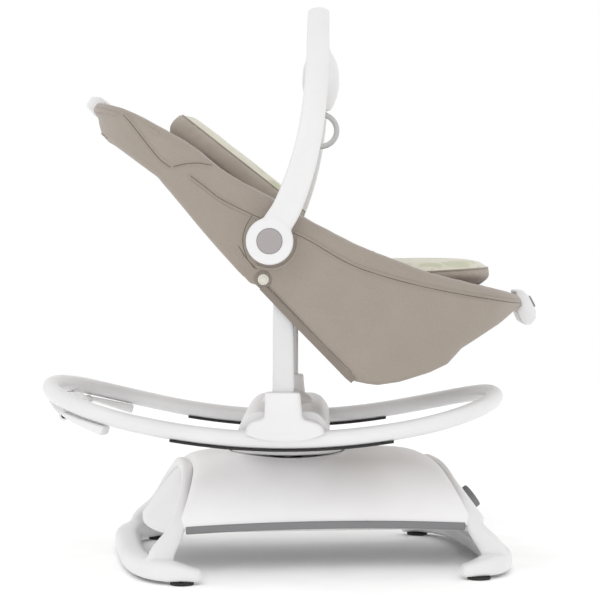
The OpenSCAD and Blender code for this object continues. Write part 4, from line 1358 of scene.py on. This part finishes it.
def build_foot_grip():
    """The foot-end grip, with the slot that the release strip sits in."""
    grip = plate("foot_grip_bar", FOOT_GRIP_OUTLINE, -FOOT_GRIP_W / 2, FOOT_GRIP_W / 2, bevel=1.8)
    slot = [RELEASE_AT + RELEASE_OUT * a + RELEASE_ALONG * b for a, b in ((-6, -9.5), (6, -9.5), (6, 9.5), (-6, 9.5))]
    cut(grip, prism("cut", [(p[0], p[2]) for p in slot], -25.5, 25.5))
    finish_mesh(grip, 40)
    add(grip, "seat", WHITE, "foot_grip")


def build_release():
    """The strip in the foot grip's outer face, standing a little proud of it."""
    path = RELEASE_AT + RELEASE_OUT * 1.2 + np.outer(np.linspace(-24.8, 24.8, 15), (0, 1, 0))
    strip = tube("release_strip", path, RELEASE_ALONG, 6.4, 17.8, power=0.35, sides=32, round_end=1.5)
    add(strip, "release", RELEASE_GREY, "release_button")


build_ring()
build_hub_plates()
build_release()
shell_tree = surface_of(build_shell())
build_seams(shell_tree)
build_binding(shell_tree)
build_liner()
build_pads()
build_harness()
build_snaps(shell_tree)
refined("head_grip_bar", "head_grip", "seat", WHITE, 3.0)
build_foot_grip()

# ---- Toy bar

CROWN_X = 46.0
BAR_TOP = cad_box("toy_arch")[1][2]
BAR_THICK, BAR_W, BAR_HALF_Y, BAR_POWER, BAR_LEAN = 13.0, 31, 238, 0.84, 3.05


def bar_line(count):
    """Middle of the arch from its crown towards -Y."""
    a = np.radians(np.linspace(0, 85.4, count))
    rise = (BAR_TOP - BAR_THICK / 2 - HUB_Z) * np.cos(a) ** BAR_POWER
    f = 1 - rise / (BAR_TOP - BAR_THICK / 2 - HUB_Z)
    x = CROWN_X - (CROWN_X - HUB_X) * f**BAR_LEAN
    return np.stack([x, -BAR_HALF_Y * np.sin(a) ** BAR_POWER, HUB_Z + rise], axis=1)


def build_toy_bar():
    foot = [[HUB_X + 9, -BAR_HALF_Y, HUB_Z + 21], [HUB_X + 1, -BAR_HALF_Y, HUB_Z + 3]]
    path = mirrored(even_path(np.vstack([bar_line(200), foot]), 76))
    count = len(path)
    f = np.abs(np.linspace(-1, 1, count))
    at_hub = smoothstep(f, 0.72, 0.97)
    width = BAR_W + 11 * f**3
    thick = BAR_THICK + 9 * at_hub
    along = unit(np.gradient(path, axis=0))
    outwards = unit(np.cross(np.array([1.0, 0, 0]), along))
    if outwards[count // 2][2] < 0:
        outwards = -outwards
    path = path + outwards * (1.2 * at_hub)[:, None]
    turn = full_turn(40)
    sn, cs = np.sin(turn), np.cos(turn)
    across = unit(np.cross(along, outwards))
    rows = []
    for k in range(count):
        # Round on the outside at the crown, flat towards the hubs
        flat = smoothstep(f[k], 0.6, 0.95)
        top = signed_power(sn, np.where(sn > 0, 1.15 - 0.75 * flat, 0.4))
        side = signed_power(cs, np.where(sn > 0, 1.0 - 0.55 * flat, 0.4))
        rows.append(path[k] + across[k] * (width[k] / 2 * side)[:, None] + outwards[k] * (thick[k] / 2 * top)[:, None])
    arch = make("arch", np.vstack(rows), capped_faces(count, len(turn)))
    profile = [(0, HUB_IN), (HUB_R - 1.5, HUB_IN), (HUB_R, HUB_IN + 1.5), (HUB_R, HUB_OUT - 2.4)]
    profile += [(HUB_R - 2.4 + r, HUB_OUT - 2.4 + h) for r, h in arc(2.4, 20, 90, 4)]
    hubs = [lathe("hub", profile + [(0, HUB_OUT)], HUB_AT, (0, s, 0), 96) for s in (-1, 1)]
    bar = fuse("toy_bar_arch", [arch, *hubs], 1.9, 4)
    for s in (-1, 1):
        drill(bar, BUTTON_R + 0.35, HUB_OUT - 11, HUB_OUT + 9, HUB_AT, (0, s, 0), 96)
        drill(bar, 8, 200, 260, HUB_AT, (0, s, 0), 48)
    finish_mesh(bar, 40)
    add(bar, "toy_bar", WHITE, "toy_arch", "near_hub", "far_hub")
    face = HUB_OUT + 0.9
    profile = [(0, HUB_OUT - 6), (BUTTON_R, HUB_OUT - 6), (BUTTON_R, face - 1.3), (BUTTON_R - 0.4, face - 0.4),
               (BUTTON_R - 1.4, face), (BUTTON_R - 3.2, face - 0.1), (8, face - 0.7), (0, face - 0.9)]
    for name, s in SIDES:
        disc = lathe(f"{name}_hub_disc", profile, HUB_AT, (0, s, 0), 96)
        add(disc, f"{name}_push", DISC_GREY, f"{name}_button")


TEETHER_R, TEETHER_WIRE = 23, 8


def build_pod():
    low, high = cad_box("toy_pod")
    x = (low[0] + high[0]) / 2
    foot = [(0, 651.5), (7, 650.6), (11.5, 649.6)]
    belly = points((14, 650), (17.3, 655), (20.8, 662.6), (23.8, 671.5), (25.9, 681), (26.7, 690), (26.4, 700),
                   (25.2, 710), (22.6, 719.5), (19.2, 727), (15.6, 733), (13.2, 739))
    neck = [(12.2, 747), (12.2, 778), (12.6, 783.4), (0, 783.4)]
    pod = lathe("body", [*foot, *smooth_path(belly, 4), *neck], (x, 0, 0), UP, 96, sharp=50)
    tab = loft("tab", [(x - 2.4, x + 2.4, -y, y, z) for y, z in ((5.5, 636.5), (8, 638.5), (9, 642), (9, 655))],
               sides=32, power=0.5)
    drill(tab, 4.7, -9, 9, (x, 0, 644), (1, 0, 0), 40)
    add(join("toy_pod_body", [pod, tab]), "toy_bar", WHITE, "toy_pod")
    low, high = cad_box("toy_ring")
    a = full_turn(96)
    circle = np.stack([x + TEETHER_R * np.cos(a), 0 * a, (low[2] + high[2]) / 2 + TEETHER_R * np.sin(a)], axis=1)
    ring = tube("teether_ring", circle, (0, 1, 0), TEETHER_WIRE, TEETHER_WIRE, sides=24, closed=True)
    add(ring, "teether", RING_GREY, "toy_ring")


build_toy_bar()
build_pod()

# ---- Floor, light and camera


def build_floor():
    sides = 64
    finish = plastic("floor", (0.93, 0.93, 0.93), 0.85, grain=0.02)
    verts = [(0, 0, -0.3)] + [(r * math.cos(a), r * math.sin(a), -0.3) for r in (700, 1500, 4200)
                              for a in np.linspace(0, 2 * math.pi, sides, endpoint=False)]
    faces = [(0, 1 + i, 1 + (i + 1) % sides) for i in range(sides)]
    faces += [(1 + j * sides + i, 1 + (j + 1) * sides + i, 1 + (j + 1) * sides + (i + 1) % sides,
               1 + j * sides + (i + 1) % sides) for j in range(2) for i in range(sides)]
    floor = make("floor", verts, faces)
    floor.data.materials.append(finish)
    return floor


def lamp(name, kind, energy, aim):
    data = bpy.data.lights.new(name, kind)
    data.energy = energy
    obj = placed(name, data)
    obj.rotation_euler = aim.to_track_quat("-Z", "Y").to_euler()
    return obj


def area_light(name, place, aim, size, power):
    obj = lamp(name, "AREA", power, Vector(aim) - Vector(place))
    obj.data.size = size
    obj.location = place


def floor_sun(strength, floor):
    """Soft sun from low in front that lights only the floor, so that the shadow lies under the base."""
    obj = lamp("floor_sun", "SUN", strength, Vector((0.02, 0.86, -0.52)))
    obj.data.angle = math.radians(24)
    group = bpy.data.collections.new("floor_only")
    group.objects.link(floor)
    obj.light_linking.receiver_collection = group


world = bpy.data.worlds.new("studio")
scene.world = world
world.use_nodes = True
background = world.node_tree.nodes["Background"]
background.inputs["Color"].default_value = (1, 1, 1, 1)
background.inputs["Strength"].default_value = 1.0
floor_sun(1.3, build_floor())
area_light("key", (-2.2, -2.4, 2.6), (0, 0, 0.4), 1.6, 8)
area_light("fill", (0.3, -3.4, 0.55), (0.05, 0, 0.15), 1.2, 3.5)

camera = placed("camera", bpy.data.cameras.new("camera"))
camera.data.sensor_width = 36
camera.data.lens = 136.1
camera.location = (0.05945, -3.290, 0.4625)
camera.rotation_euler = Vector((-0.01234, 1, -0.02644)).to_track_quat("-Z", "Y").to_euler()
scene.camera = camera
scene.view_settings.view_transform = "Standard"
scene.view_settings.look = "None"
